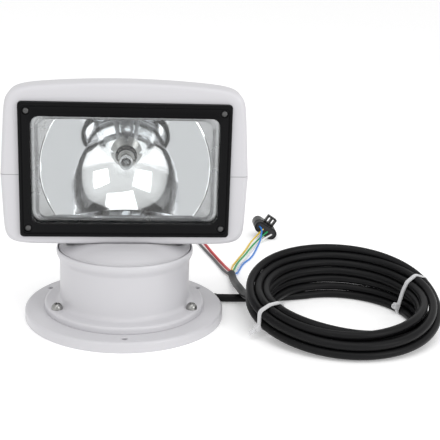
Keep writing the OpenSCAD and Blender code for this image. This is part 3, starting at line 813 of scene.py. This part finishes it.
@dataclass
class Connector:
    """Flat oval connector with a latch loop on top; its wires leave towards -Y."""

    at: Point = (148.5 * MM, 205 * MM, 10 * MM)
    roll: float = radians(33)
    width: float = 26 * MM
    thick: float = 12 * MM
    length: float = 24 * MM
    latch: Point = (11 * MM, 9 * MM, 6 * MM)  # across, outwards and along
    latch_low: float = 6 * MM
    latch_bar: float = 1.6 * MM
    latch_edge: float = 0.3 * MM

    def build(self) -> Piece:
        """Make the hollow-faced body and its latch.

        Returns:
            The connector.
        """
        place = (Matrix.Translation(self.at) @ Matrix.Rotation(self.roll, 4, "Y")
                 @ Matrix.Rotation(-pi / 2, 4, "X"))
        steps = moved(((1.2, 0), (0.6, 0), (0.2, -0.2), (0, -0.6)), 0.0, self.length)
        steps += moved(((0, 9), (0.5, 8.6), (0.5, 6.4), (0, 6), (0, 0.5), (0.15, 0.15), (0.5, 0), (1.1, 0),
                        (1.5, 0.3), (1.5, 3)), 0.0, 0.0)
        rings = []
        for inset, z in steps:
            wide, tall = self.width - 2 * inset, self.thick - 2 * inset
            rings.append(ring_at(place, rounded_frame(wide, tall, tall / 2 - 1e-6, 14), z))
        made = joined("connector_shell", [loft("connector_shell", rings), self.make_latch(place)])
        return dress(made, "connector_black", "base", "connector_body", crease=35)

    def make_latch(self, place: Matrix) -> Piece:
        """Make the latch loop with two windows.

        Args:
            place: The connector's own frame.

        Returns:
            The loop.
        """
        wide, tall, deep = self.latch
        low, high, bar_w, edge = self.latch_low, self.latch_low + deep, self.latch_bar, self.latch_edge
        middle = -self.thick / 2 + 0.2 * MM - tall / 2
        outline = rounded_frame(wide, tall + 0.2 * MM, 1.2 * MM, 5)
        rings = []
        for z, inset in ((low, edge), (low + edge, 0.0), (high - edge, 0.0), (high, edge)):
            shape = [(x * (1 - 2 * inset / wide), middle + y * (1 - 2 * inset / tall)) for x, y in outline]
            rings.append(ring_at(place, shape, z))
        loop = loft("latch", rings)
        across = (wide - 3 * bar_w) / 2
        window = rounded_frame(across, tall - 2 * bar_w, 0.5 * MM, 4)
        for side in (-1, 1):
            hole = [(side * (across + bar_w) / 2 + x, middle + y) for x, y in window]
            carve(loop, prism("window", place, hole, low - MM, high + MM))
        return loop


@dataclass
class Wires:
    """Six insulated wires: two thicker ones for power, four to the connector."""

    power: float = 2.8 * MM
    signal: float = 1.8 * MM
    routes: tuple[tuple[str, tuple[Point, ...]], ...] = (
        ("red", ((99.3, 89, 5.5), (98, 98, 4.2), (95, 120, 1.8), (91, 140, 1.5), (86, 165, 1.5),
                 (82, 190, 1.5), (80, 212, 1.5))),
        ("black", ((97.9, 89, 2.9), (95, 98, 2.2), (91, 118, 1.5), (87, 138, 1.5), (81, 165, 1.5),
                   (76, 190, 1.5), (73, 210, 1.5))),
        ("yellow", ((101.8, 89, 5.2), (101.8, 104, 3.2), (111, 136, 1), (122, 165, 1), (131, 188, 3),
                    (140, 200, 8), (146.2, 207, 11.5))),
        ("green", ((100.5, 89, 3), (103.6, 104, 1), (107.5, 118, 1), (111.8, 131, 1), (120, 151, 1),
                   (131, 178, 2), (143, 198, 5.5), (150.8, 207, 8.5))),
        ("white", ((101.4, 89, 1.3), (104.2, 95, 1), (106.4, 104, 1), (110.3, 118, 1), (119, 138, 1),
                   (129, 165, 1), (140, 190, 2.4), (150, 201, 4.6), (155.5, 207, 5.4))),
        ("blue", ((102.9, 89, 3.2), (106.6, 96, 1.8), (108.8, 104, 1), (115.5, 124, 1), (125, 142, 1.2),
                  (135, 172, 1.8), (140, 186, 5), (142.5, 196, 9), (143.5, 202, 12.5), (141.5, 207, 14.6))),
    )

    def build(self) -> None:
        """Make the connector and lay every wire."""
        connector = [Connector().build(), frame["nodes"]["connector_seal"]]
        for colour, points in self.routes:
            route = metres(points)
            power = colour in ("red", "black")
            thick = self.power if power else self.signal
            wire = cord_along(f"{colour}_wire", route, thick)
            dress(wire, f"wire_{colour}", "base", f"wire_{colour}")


@dataclass
class CoilTie:
    """One nylon tie drawn tight round the coil's turns."""

    name: str
    angle: float  # place round the coil, in degrees
    node: str  # CAD node that it stands for
    lock: float  # place of its head round the strap, in degrees from outwards
    tail: float  # length of the cut tail past the head
    width: float = 3.6 * MM
    thick: float = 1.2 * MM
    head: Point = (5.4 * MM, 4.6 * MM, 4.6 * MM)  # along the strap, across it and outwards
    spare: float = 0.1 * MM  # room between the strap and the strands
    above: float = 1.3 * MM  # least height of the strap's inside
    span: float = 3.76  # strands this near in degrees lie in the strap

    def build(self, cable: SupplyCable) -> None:
        """Wrap the strap round the strands at the tie's angle and add its head.

        Args:
            cable: Cable whose turns it holds.
        """
        outline = self.outline(cable)
        rings = []
        for inner, outer in zip(outline, self.grown(outline)):
            rings.append([self.place(cable, *corner, side * self.width / 2)
                          for corner, side in ((inner, -1), (outer, -1), (outer, 1), (inner, 1))])
        strap = joined(self.name, [loft("strap", rings, closed=True), *self.make_head(cable, outline)])
        dress(strap, "tie_white", "base", self.node, crease=40)

    def make_head(self, cable: SupplyCable, outline: np.ndarray) -> list[Piece]:
        """Make the tie's locking head and the stub of its tail.

        Args:
            cable: Cable whose turns it holds.
            outline: Belt round the strands.

        Returns:
            The head and the tail.
        """
        away = outline - outline.mean(0)
        bearing = np.degrees(np.arctan2(away[:, 1], away[:, 0]))
        k = int(np.argmin(np.abs((bearing - self.lock + 180) % 360 - 180)))
        along = outline[(k + 1) % len(outline)] - outline[k - 1]
        along /= np.linalg.norm(along)
        out = np.array((along[1], -along[0]))
        long, wide, high = self.head
        parts = []
        for length, width, tall, first in ((long, wide, high, 0.2 * self.thick),
                                           (0.9 * self.width, 1.2 * self.thick, self.tail, high)):
            rings = []
            for rise, inset in ((0.0, 0.0), (tall - 0.5 * MM, 0.0), (tall, 0.4 * MM)):
                middle = outline[k] + (first + rise) * out
                rings.append([self.place(cable, *(middle + u * along), v)
                              for u, v in rounded_frame(length - inset, width - inset, 0.3 * MM, 3)])
            parts.append(loft("tie part", rings))
        return parts

    def outline(self, cable: SupplyCable) -> np.ndarray:
        """Points of the belt round the strands, evenly spaced.

        Args:
            cable: Cable whose turns it holds.

        Returns:
            Radius and height of each point.
        """
        rows = [i for i, a in enumerate(cable.angles) if abs((a - self.angle + 180) % 360 - 180) <= self.span]
        reach = cable.diameter / 2 + self.spare
        points = np.array([cable.turns[i] + reach * np.array((cos(t), sin(t)))
                           for i in rows for t in np.linspace(0, 2 * pi, 24, endpoint=False)])
        points[:, 1] = np.maximum(points[:, 1], self.above)
        return even(hull(points), 72)

    def grown(self, outline: np.ndarray) -> np.ndarray:
        """Move the belt outwards by the strap's thickness.

        Args:
            outline: Belt round the strands.

        Returns:
            The strap's outer side.
        """
        ahead = np.roll(outline, -1, 0) - np.roll(outline, 1, 0)
        normal = np.stack([ahead[:, 1], -ahead[:, 0]], 1)
        return outline + self.thick * normal / np.linalg.norm(normal, axis=1)[:, None]

    def place(self, cable: SupplyCable, radius: float, height: float, across: float) -> Point:
        """Point of the strap in the frame.

        Args:
            cable: Cable whose turns it holds.
            radius: Distance from the coil's middle.
            height: Height above the floor.
            across: Distance from the middle of the strap's width.

        Returns:
            The point.
        """
        x, y, z = cable.coil_point(radius, height, self.angle)
        turn = radians(self.angle)
        return (x - across * sin(turn), y + across * cos(turn), z)


def hull(points: np.ndarray) -> np.ndarray:
    """Convex outline of flat points, anticlockwise.

    Args:
        points: Points in a plane.

    Returns:
        The outline's corners.
    """
    order = sorted(map(tuple, points))

    def chain(row: Sequence[Pair]) -> list[Pair]:
        """Keep the corners of one side of the outline.

        Args:
            row: Points in order along the side.

        Returns:
            The corners, without the last.
        """
        kept: list[Pair] = []
        for p in row:
            while len(kept) > 1:
                (ax, ay), (bx, by) = kept[-2], kept[-1]
                if (bx - ax) * (p[1] - ay) - (by - ay) * (p[0] - ax) > 0:
                    break
                kept.pop()
            kept.append(p)
        return kept[:-1]

    return np.array(chain(order) + chain(order[::-1]))


def even(outline: np.ndarray, count: int) -> np.ndarray:
    """Space points evenly round a closed outline.

    Args:
        outline: Corners of the outline.
        count: Number of points wanted.

    Returns:
        The evenly spaced points.
    """
    closed = np.vstack([outline, outline[:1]])
    way = np.concatenate([[0.0], np.linalg.norm(np.diff(closed, axis=0), axis=1).cumsum()])
    marks = np.linspace(0, way[-1], count, endpoint=False)
    return np.stack([np.interp(marks, way, closed[:, k]) for k in (0, 1)], 1)


# Lamp head


@dataclass(frozen=True)
class HeadForm:
    """Outer form of the lamp head, as sections across Y."""

    half_width: float = 97 * MM
    top: float = 199 * MM  # height of the roof
    bottom: float = 69 * MM  # height of the underside
    front: float = -26 * MM  # Y of the shell's front edge
    back: float = 60 * MM  # Y of the flat back
    flat_to: float = -8 * MM  # Y where the roof starts to fall
    roof_spare: float = 4 * MM  # how far behind the back the roof would reach the seam
    wide_to: float = -5 * MM  # Y where the sides start to close in
    side_spare: float = 12 * MM  # how far behind the back the sides would meet
    side_power: int = 3  # how boxy the head is from above
    tilt_y: float = 6 * MM
    tilt_z: float = 126 * MM  # height of the tilt axis and the seam
    under: float = 58.5 * MM  # radius of the underside about the tilt axis
    crown: float = 5.7 * MM  # fall of the roof from its middle to its sides
    roof_draft: float = 0.062  # taper of the upper shell's sides
    floor_draft: float = 0.04  # taper of the lower shell's sides
    roof_power: int = 14  # how boxy the upper half of a section is
    floor_power: int = 12  # how boxy the lower half is
    edge: float = 4 * MM  # rounding of the front edge
    back_edge: float = 6 * MM  # rounding of the back edge
    quarter: int = 40  # points in a quarter of a section
    sections: int = 30  # sections between the two edges

    def half(self, y: float) -> float:
        """Half width of the section at y."""
        closing = max(0.0, y - self.wide_to) / (self.back + self.side_spare)
        return self.half_width * (1 - closing**self.side_power) ** (1 / self.side_power)

    def roof(self, y: float) -> float:
        """Height of the roof at y."""
        drop = max(0.0, y - self.flat_to) / (self.back + self.roof_spare - self.flat_to)
        return self.tilt_z + (self.top - self.tilt_z) * sqrt(1 - drop * drop)

    def floor(self, y: float) -> float:
        """Height of the underside at y."""
        reach = max(0.0, self.under**2 - max(0.0, y - self.tilt_y) ** 2)
        return max(self.bottom, self.tilt_z - sqrt(reach))

    def ring(self, y: float, inset: float) -> list[Point]:
        """Section at y, drawn in all round: sides with draft, a crowned roof, points close at the corners.

        Args:
            y: Place of the section.
            inset: Distance that it is drawn in.

        Returns:
            The points of the section.
        """
        wide, points = self.half(y) - inset, []
        rise, drop = self.roof(y) - self.tilt_z - inset, self.tilt_z - self.floor(y) - inset
        for k in range(4 * self.quarter):
            turn, part = divmod(k, self.quarter)
            off = 2 * part / self.quarter - 1
            angle = pi / 2 * turn + pi / 4 * (1 + copysign(off * off, off))
            c, s, power = cos(angle), sin(angle), self.roof_power if turn < 2 else self.floor_power
            reach = (abs(c) ** power + abs(s) ** power) ** (-1 / power)
            x, z = c * reach, s * reach
            if turn < 2:
                points.append((x * (wide - self.roof_draft * rise * z), y,
                               self.tilt_z + (rise - self.crown * x * x) * z))
            else:
                points.append((x * (wide + self.floor_draft * drop * z), y, self.tilt_z + drop * z))
        return points

    def solid(self, name: str, inset: float = 0.0) -> Piece:
        """Closed form of the head, drawn in all round.

        Args:
            name: Name of the piece.
            inset: Distance that it is drawn in.

        Returns:
            The form.
        """
        last, arc = self.back - inset, [radians(15 * k) for k in range(7)]
        rings = [self.ring(self.front + self.edge * (1 - cos(a)), inset + self.edge * (1 - sin(a)))
                 for a in arc]
        for y in np.linspace(self.front + 2 * self.edge, last - self.back_edge, self.sections):
            rings.append(self.ring(float(y), inset))
        rings += [self.ring(last - self.back_edge * (1 - sin(a)), inset + self.back_edge * (1 - cos(a)))
                  for a in arc[1:]]
        return loft(name, rings)


@dataclass
class LampHead:
    """Shells, bezel, lens, reflector, bulb and their screws, all on the head."""

    form: HeadForm = HeadForm()
    wall: float = 3 * MM
    seam: float = 0.6 * MM
    seam_inset: float = 0.3 * MM
    ledge: float = -18 * MM  # Y of the ledge that the bezel and the reflector lie on
    ledge_thick: float = 3 * MM
    middle_z: float = 130 * MM
    bezel: Pair = (164.6 * MM, 107 * MM)
    bezel_front: float = -29.6 * MM
    bezel_round: float = 3 * MM
    window: Pair = (146 * MM, 85 * MM)
    window_round: float = 7 * MM
    seat_gap: float = 0.3 * MM
    screw_seat: float = 2.9 * MM
    opening: tuple[float, float, float] = (140 * MM, 89 * MM, 12 * MM)  # hole in the ledge and its corners
    insert: Pair = (150 * MM, 93 * MM)  # outline of the lens and the reflector
    insert_round: float = 13.5 * MM
    lens_front: float = -25 * MM
    lens_back: float = -21.9 * MM
    dish_radius: float = 67 * MM
    dish_depth: float = 46 * MM
    dish_cut: float = 42 * MM
    dish_wall: float = 1.2 * MM
    dish_grid: tuple[int, int] = (60, 96)
    bulb_hole: float = 8 * MM
    screw_x: float = 76 * MM
    screw_z: float = 46.6 * MM
    arm_x: Pair = (40.5 * MM, 49.5 * MM)  # inner and outer side of an arm's slot
    arm_reach: Pair = (30 * MM, 66.5 * MM)  # from the tilt axis
    arm_half: float = 8.5 * MM
    tilt: Pair = (radians(-15), radians(45))

    def build(self) -> None:
        """Make and dress every piece of the head."""
        self.make_shells()
        self.make_bezel()
        self.make_lens()
        self.make_reflector()
        self.make_bulb()
        self.make_screws()

    def framed(self, width: float, height: float, radius: float, y: float) -> list[Point]:
        """Rounded rectangle about the lamp's middle at y."""
        return [(x, y, self.middle_z + z) for x, z in rounded_frame(width, height, radius)]

    def plate(self, name: str, y0: float, y1: float, shape: tuple[float, float, float]) -> Piece:
        """Rounded plate of a width, height and corner radius about the lamp's middle, from y0 to y1."""
        return loft(name, [self.framed(*shape, y) for y in (y0, y1)])

    def make_shells(self) -> None:
        """Hollow the form, cut its openings and part it at the seam."""
        form, reach, gap = self.form, 0.4, self.seat_gap
        low_seam, high_seam = form.tilt_z - self.seam / 2, form.tilt_z + self.seam / 2
        seat = (self.bezel[0] + 2 * gap, self.bezel[1] + 2 * gap, self.bezel_round + gap)
        for name, node_name, slot, low, high, inset in (
            ("shell_top", "upper_shell", "white_gloss", high_seam, reach, 0.0),
            ("shell_bottom", "lower_shell", "white_gloss", 0.0, low_seam, 0.0),
            ("seam_strip", "seam_gasket", "grey_rubber", low_seam, high_seam, self.seam_inset),
        ):
            piece = form.solid(name, inset)
            hollow = form.solid("hollow", self.wall)
            carve(hollow, block("behind", (-reach, self.ledge + self.ledge_thick, 0), (reach, reach, reach)),
                  Cut.KEEP)
            carve(piece, hollow)
            carve(piece, block("part", (-reach, -reach, low), (reach, reach, high)), Cut.KEEP)
            carve(piece, self.plate("seat", -2 * form.back, self.ledge, seat))
            carve(piece, self.plate("opening", self.ledge - self.wall, self.ledge + 2 * self.wall,
                                    self.opening))
            if node_name != "upper_shell":
                for side in (-1, 1):
                    carve(piece, self.arm_slot(side))
            dress(piece, slot, "head", node_name, crease=30)

    def arm_slot(self, side: int) -> Piece:
        """Slot in the underside that a yoke arm passes through over the whole tilt.

        Args:
            side: 1 for the slot at +X, -1 for the one at -X.

        Returns:
            The carving tool.
        """
        low, high = self.tilt[0] - pi / 2, self.tilt[1] - pi / 2
        outline = []
        for reach, way in zip(self.arm_reach, (1, -1)):
            spare = asin(self.arm_half / reach)
            angles = np.linspace(low - spare, high + spare, 13)[::way]
            outline += [(reach * cos(a), reach * sin(a)) for a in angles]
        return loft("slot", [[(side * x, self.form.tilt_y + y, self.form.tilt_z + z) for y, z in outline]
                             for x in self.arm_x])

    def make_bezel(self) -> None:
        """Loft the bezel: outer lip, groove, face, bead round the window and the wall behind it."""
        front, rim = self.bezel_front, (self.bezel[0] - self.window[0]) / 2
        glass, lip = self.lens_front - 0.3 * MM, rim - 2 * MM
        section = [(0.0, self.ledge)]
        section += moved(((0, 0.9), (0.25, 0.25), (0.8, 0), (1.7, 0), (2.1, 0.25), (2.3, 0.9), (2.7, 0.9),
                          (3.0, 0.6)), 0.0, front)
        section += moved(((-1.6, 0.6), (-1.2, 0.35), (-0.5, 0.35), (0, 0.9)), rim, front)
        section += [(rim, glass), (lip, glass), (lip, self.ledge)]
        drop = (self.bezel[1] - self.window[1]) / 2 / rim
        rings = [self.framed(self.bezel[0] - 2 * inset, self.bezel[1] - 2 * inset * drop,
                             self.bezel_round + (self.window_round - self.bezel_round) * (inset / rim), y)
                 for inset, y in section]
        made = loft("lamp_bezel", rings, closed=True)
        for x in (-self.screw_x, self.screw_x):
            for z in (-self.screw_z, self.screw_z):
                place = along_y(x, front - 2 * MM, self.middle_z + z)
                carve(made, turned("screw seat", bar(self.screw_seat, 0, 4 * MM), place, 40))
        dress(made, "black_gloss", "head", "bezel", crease=28)

    def make_lens(self) -> None:
        """Make the glass with its raised border."""
        width, height = self.insert
        section = [(0.0, self.lens_back)]
        section += moved(((0, 0.4), (0.4, 0), (5.2, 0), (5.8, 0.3), (6.4, 0.9), (7, 1)), 0.0, self.lens_front)
        rings = [self.framed(width - 2 * inset, height - 2 * inset, self.insert_round - 0.6 * inset, y)
                 for inset, y in section]
        dress(loft("lens_glass", rings), "clear_glass", "head", "lens", crease=20)

    def make_reflector(self) -> None:
        """Make the plated mirror: the dish, its stepped flange and the bead along its mouth."""
        dish = self.mirror_dish()
        self.punch(dish)
        shell = dish.modifiers.new("wall", "SOLIDIFY")
        shell.thickness, shell.offset = self.dish_wall, self.outward(dish)
        apply_steps(dish)
        flange = self.mirror_flange()
        rim = [Vector(p) for p in self.dish_rim()]
        bead = tube("reflector_bead", [*rim, rim[0]], 0.8 * MM)
        dress(dish, "mirror_coat", "head", "reflector", crease=25)
        # the flange gets the darker copy of the mirror plating: painted shade on its reflection
        dress(flange, "mirror_coat", "head", crease=25, finish="shaded_mirror_coat")
        dress(bead, "mirror_coat", "head", crease=25)

    def mirror_dish(self) -> Piece:
        """Make the surface of the dish and of the flat walls above and below it.

        Returns:
            The open surface.
        """
        rows, columns = self.dish_grid
        wide = columns + 1
        points: list[Point] = []
        for z in np.linspace(-self.dish_cut, self.dish_cut, rows + 1):
            reach = sqrt(self.dish_radius**2 - z * z)
            for x in np.linspace(-reach, reach, wide):
                y = self.ledge + self.dish_depth * (1 - (x * x + z * z) / self.dish_radius**2)
                points.append((float(x), y, self.middle_z + float(z)))
        faces = [(low, low + 1, low + wide + 1, low + wide)
                 for i in range(rows) for low in range(i * wide, i * wide + columns)]
        for base in (0, rows * wide):
            edge = len(points)
            points += [(points[base + k][0], self.ledge, points[base][2]) for k in range(wide)]
            faces += [(base + k, base + k + 1, edge + k + 1, edge + k) for k in range(columns)]
        return mesh_piece("reflector_dish", points, faces)

    def outward(self, dish: Piece) -> float:
        """Side of the mirror surface that its wall lies on: behind it."""
        low = max(dish.data.polygons, key=lambda face: face.center.y)
        return 1.0 if low.normal.y > 0 else -1.0

    def punch(self, dish: Piece) -> None:
        """Open the dish for the bulb.

        Args:
            dish: The dish's surface.
        """
        with reworked(dish.data) as work:
            middles = [(f, f.calc_center_median()) for f in work.faces]
            inside = [f for f, m in middles if Vector((m.x, m.z - self.middle_z)).length < self.bulb_hole]
            bmesh.ops.delete(work, geom=inside, context="FACES")

    def mirror_flange(self) -> Piece:
        """Make the stepped flange round the dish, open over the dish.

        Returns:
            The flange.
        """
        width, height = self.insert
        section = moved(((0.2, 0), (4.6, 0), (5, 0.9), (6.6, 0.9), (7, 1.8)), 0.0, self.lens_back + 0.4 * MM)
        rings = [self.framed(width - 2 * inset, height - 2 * inset, self.insert_round - inset, y)
                 for inset, y in section]
        made = loft("reflector_flange", rings, caps=False)
        with reworked(made.data) as work:
            work.verts.ensure_lookup_table()
            inner = list(work.verts)[-len(rings[0]):]
            rim = [work.verts.new(p) for p in self.dish_rim()]
            loop = [work.edges.get((inner[k - 1], inner[k])) for k in range(len(inner))]
            loop += [work.edges.new((rim[k - 1], rim[k])) for k in range(len(rim))]
            bmesh.ops.triangle_fill(work, edges=loop, use_beauty=True)
            bmesh.ops.recalc_face_normals(work, faces=work.faces)
        return made

    def dish_rim(self) -> list[Point]:
        """Outline of the dish's mouth in the flange's plane.

        Returns:
            The points round the mouth.
        """
        half = asin(self.dish_cut / self.dish_radius)
        arcs = [(self.dish_radius * cos(a), self.dish_radius * sin(a)) for a in np.linspace(-half, half, 41)]
        arcs += [(-x, z) for x, z in reversed(arcs)]
        return [(x, self.ledge, self.middle_z + z) for x, z in arcs]

    def make_bulb(self) -> None:
        """Make the bulb: thin glass capsule, base, filament on its leads and the clip round its neck."""
        place = along_y(0.0, self.ledge + self.dish_depth, self.middle_z)
        radius, wall, tip, neck = 5.5 * MM, 0.7 * MM, -32 * MM, -6 * MM
        bore, quarter = radius - wall, np.linspace(0, pi / 2, 10)
        profile = [(radius * sin(t), tip + radius * (1 - cos(t))) for t in quarter]
        profile += [(radius, neck), (bore, neck)]
        profile += [(bore * sin(t), tip + radius - bore * cos(t)) for t in quarter[::-1]]
        dress(turned("bulb_capsule", profile, place, 64), "bulb_glass", "head", "bulb", crease=40)
        base_r, base_end = 7.9 * MM, 11.8 * MM
        profile = [(0, neck), (5.4 * MM, neck), (base_r, -4 * MM), (base_r, base_end), (0, base_end)]
        dress(turned("bulb_base", profile, place, 48), "black_gloss", "head")
        self.make_filament(place, neck)
        clip_r, mouth, edge = 7.2 * MM, neck - 7 * MM, 0.6 * MM
        profile = [(radius, mouth), (clip_r - edge, mouth), (clip_r, mouth + edge), (clip_r, neck),
                   (radius, neck)]
        clip = turned("bulb_clip_collar", profile, place, 48)
        for turn in (0, pi / 2):
            way = place @ Matrix.Rotation(turn, 4, "Z")
            carve(clip, prism("slit", way, oblong(12 * MM, 0.8 * MM), mouth - 2 * MM, mouth + 4 * MM))
        dress(clip, "stainless", "head", "bulb_clip", crease=30)

    def make_filament(self, place: Matrix, neck: float) -> None:
        """Make the filament's coil and its two leads.

        Args:
            place: The bulb's own frame.
            neck: Where the leads start.
        """
        turns, steps, radius, length, middle = 9, 144, 1.1 * MM, 6 * MM, neck - 15 * MM
        pieces = [turned("lead", bar(0.45 * MM, 0, long),
                         place @ Matrix.Translation((x, 0, neck - long)), 12)
                  for x, long in ((-1.9 * MM, 15 * MM), (1.9 * MM, 19 * MM))]
        coil = []
        for k in range(steps + 1):
            a, z = 2 * pi * turns * k / steps, middle - length * (k / steps - 0.5)
            coil.append(place @ Vector((radius * cos(a), radius * sin(a), z)))
        made = joined("bulb_filament", [*pieces, tube("filament", coil, 0.22 * MM)])
        dress(made, "motor_steel", "head", crease=40)

    def make_screws(self) -> None:
        """Set the four bezel screws in their seats."""
        heads = []
        for sx, sz, turn in ((-1, 1, 0.3), (1, 1, 0.9), (-1, -1, 1.2), (1, -1, 0.6)):
            place = along_y(sx * self.screw_x, self.bezel_front + 0.5 * MM, self.middle_z + sz * self.screw_z)
            heads.append(cross_screw("bezel screw", 2.5 * MM, 1.3 * MM, 1.5 * MM,
                                     place @ Matrix.Rotation(turn, 4, "Z")))
        screws = joined("bezel_screw_set", heads)
        dress(screws, "stainless", "head", "bezel_screws", crease=30, finish="dark_steel")


def cross_screw(name: str, head: float, rise: float, shank: float, place: Matrix) -> Piece:
    """Pan-head screw with a cross recess, its head towards the place's -Z.

    Args:
        name: Name of the piece.
        head: Radius of the head.
        rise: Height of the head.
        shank: Radius of the shank.
        place: Where the head's top lies; the shank points along +Z.

    Returns:
        The screw.
    """
    end = rise + 10 * MM
    profile = [(head * sin(t), rise * (1 - cos(t)) * 0.9) for t in np.linspace(0, pi / 2, 7)]
    profile += [(head, rise), (shank, rise), (shank, end), (0.0, end)]
    screw = turned(name, profile, place, 40)
    arm, half, deep = 0.62 * head, 0.16 * head, min(0.55 * rise, 1.5 * MM)
    for across, along in ((arm, half), (half, arm)):
        carve(screw, prism("recess", place, oblong(across, along), -rise, deep))
    return screw


# Pedestal


@dataclass
class Pedestal:
    """Deck flange, column, turntable, their screws and the cable's grommet."""

    flange_r: float = 82.5 * MM
    flange_h: float = 8.8 * MM
    flange_bore: float = 40 * MM
    cover: Pair = (44 * MM, 2.8 * MM)  # step for the bottom cover, its radius and depth
    foot_r: float = 66.5 * MM
    foot_top: float = 14.4 * MM
    edge: float = 2.4 * MM  # rounding of the flange and the foot
    fillet: float = 4.5 * MM
    column_r: float = 53.6 * MM
    column_bore: float = 50.6 * MM
    column_top: float = 61 * MM
    deck: tuple[float, float, float] = (20 * MM, 47.1 * MM, 51.1 * MM)  # inner deck: bore, low and high
    bead: tuple[Pair, ...] = ((0, -11.2), (0.12, -10.4), (0.55, -9.2), (1.3, -7.8), (2.0, -6.4),
                              (2.5, -4.9), (2.65, -3.5), (2.6, -2.4), (2.35, -1.3), (1.95, -0.75),
                              (1.6, -0.55), (1.3, -0.55))  # steps out and down from the column's top
    disc_r: float = 53.9 * MM
    disc_bottom: float = 57.1 * MM
    disc_top: float = 60.8 * MM
    disc_gap: Pair = (1 * MM, 0.35 * MM)  # room round the disc and below it
    spindle: tuple[float, float, float] = (13 * MM, 17 * MM, 24 * MM)  # bore, radius and foot
    wire_hole: float = 6 * MM
    cowl_r: float = 32 * MM
    cowl_top: float = 70.6 * MM
    swing_r: float = 64.7 * MM
    hole_circle: float = 74 * MM
    screw_circle: float = 60.5 * MM
    screw_rise: float = 5.2 * MM
    lead: Point = (78.6 * MM, 25 * MM, 4 * MM)
    facets: int = 160

    def build(self) -> None:
        """Make and dress every piece."""
        self.make_flange()
        self.make_column()
        self.make_turntable()
        self.make_screws()
        self.make_grommet()

    def make_flange(self) -> None:
        """Turn the deck flange and bore its deck holes and the cable's way out."""
        edge, top, (cover_r, cover_h) = self.edge, self.flange_h, self.cover
        profile = [(cover_r, 0), *moved(((-0.5, 0), (0, 0.5)), self.flange_r, 0.0)]
        profile += rounded_corner((self.flange_r - edge, top - edge), edge, 0, 90, 8)
        profile += [(self.flange_bore, top), (self.flange_bore, cover_h), (cover_r, cover_h)]
        flange = turned("deck_flange", profile, Matrix(), self.facets)
        hole_r, mouth_r = 2.2 * MM, 2.7 * MM
        sink = [(0, -MM), (hole_r, -MM), (hole_r, top - 0.5 * MM), (mouth_r, top), (mouth_r, 2 * top),
                (0, 2 * top)]
        for angle in (30, 150, 270):
            carve(flange, turned("deck hole", sink, round_z(angle, self.hole_circle, 0), 32))
        _, y, z = self.lead
        carve(flange, turned("lead way", bar(4.1 * MM, 0, 60 * MM), along_x(36 * MM, y, z), 40))
        dress(flange, "white_gloss", "base", "base_flange", crease=30)

    def make_column(self) -> None:
        """Turn the column: foot ring, fillet, wall, bead and the deck inside."""
        edge, fillet, bore, foot = self.edge, self.fillet, self.column_bore, self.foot_top
        deck_bore, deck_low, deck_high = self.deck
        ledge = self.disc_bottom - self.disc_gap[1]
        profile = [(bore, self.flange_h), *moved(((-0.3, 0), (0, 0.3)), self.foot_r, self.flange_h)]
        profile += rounded_corner((self.foot_r - edge, foot - edge), edge, 0, 90)
        profile += rounded_corner((self.column_r + fillet, foot + fillet), fillet, 270, 180)
        profile += moved(self.bead, self.column_r, self.column_top)
        profile += [(self.disc_r + self.disc_gap[0], ledge), (bore, ledge), (bore, deck_high),
                    (deck_bore, deck_high), (deck_bore, deck_low), (bore, deck_low)]
        column = turned("pedestal_column", profile, Matrix(), self.facets)
        dress(column, "white_gloss", "base", "column", crease=30)

    def make_turntable(self) -> None:
        """Turn the disc with its low dome and spindle, then clear the head's swing and the yoke's feet."""
        low, high, step = self.disc_bottom, self.disc_top, self.disc_r - 1.2 * MM
        bore, radius, foot = self.spindle
        profile = [(bore, foot), (radius, foot), (radius, low), (self.disc_r, low)]
        profile += [*moved(((0, -0.4), (-0.3, -0.1)), self.disc_r, high), (step, high)]
        for part in np.linspace(0.1, 1.0, 10):
            rise = part + 0.12 * sin(pi * part)
            profile.append((step + (self.cowl_r - step) * part, high + (self.cowl_top - high) * rise))
        profile += [(self.wire_hole, self.cowl_top), (self.wire_hole, low), (bore, low)]
        table = turned("turntable_cowl", profile, Matrix(), self.facets)
        form, half = HeadForm(), 70 * MM
        axis = along_x(-half, form.tilt_y, form.tilt_z)
        carve(table, turned("head swing", bar(self.swing_r, 0, 2 * half), axis, self.facets))
        for near, far in ((42 * MM, 48 * MM), (-48 * MM, -42 * MM)):
            carve(table, block("arm way", (near, -1 * MM, low - 2 * MM), (far, 13 * MM, 2 * high)))
        dress(table, "white_gloss", "turntable", "turntable", crease=30)

    def make_screws(self) -> None:
        """Set the three domed screws that hold the column to the flange."""
        rise, screws = self.screw_rise, []
        for angle, turn in ((90, 0.2), (205.5, 0.7), (334.5, 1.3)):
            place = round_z(angle, self.screw_circle, self.foot_top + rise)
            facing = place @ Matrix.Rotation(pi, 4, "X") @ Matrix.Rotation(turn, 4, "Z")
            screws.append(cross_screw("base screw", 4.6 * MM, rise, 2.45 * MM, facing))
        dress(joined("base_screw_set", screws), "stainless", "base", "base_screws", crease=30)

    def make_grommet(self) -> None:
        """Turn the rubber grommet that the cable leaves through."""
        bore, wall, edge, depth, face = 3.5 * MM, 3.95 * MM, 0.3 * MM, -12 * MM, 1.5 * MM
        profile = [(bore, depth), (wall, depth), (wall, 0)]
        profile += rounded_corner((wall - edge, face - edge), edge, 0, 90, 3)
        grommet = turned("lead_grommet", [*profile, (bore, face)], along_x(*self.lead), 48)
        dress(grommet, "rubber", "base", "cable_grommet", crease=30)


# Carried-over nodes


def dress_nodes() -> None:
    """Give every CAD node the finish of its own slot."""
    for part in frame["record"]["subparts"]:
        solid = frame["nodes"][part["node"]]
        solid.data.materials.clear()
        solid.data.materials.append(FINISHES[part["material_slot"]].material())
        soften(solid, 32)
        LOG.info("%s keeps its solid", solid.name)


def main() -> None:
    """Build the scene in order."""
    logging.basicConfig(level=logging.INFO)
    Studio().build()
    dress_nodes()
    SupplyCable().build()
    LampHead().build()
    Pedestal().build()


if __name__ == "__main__":
    main()
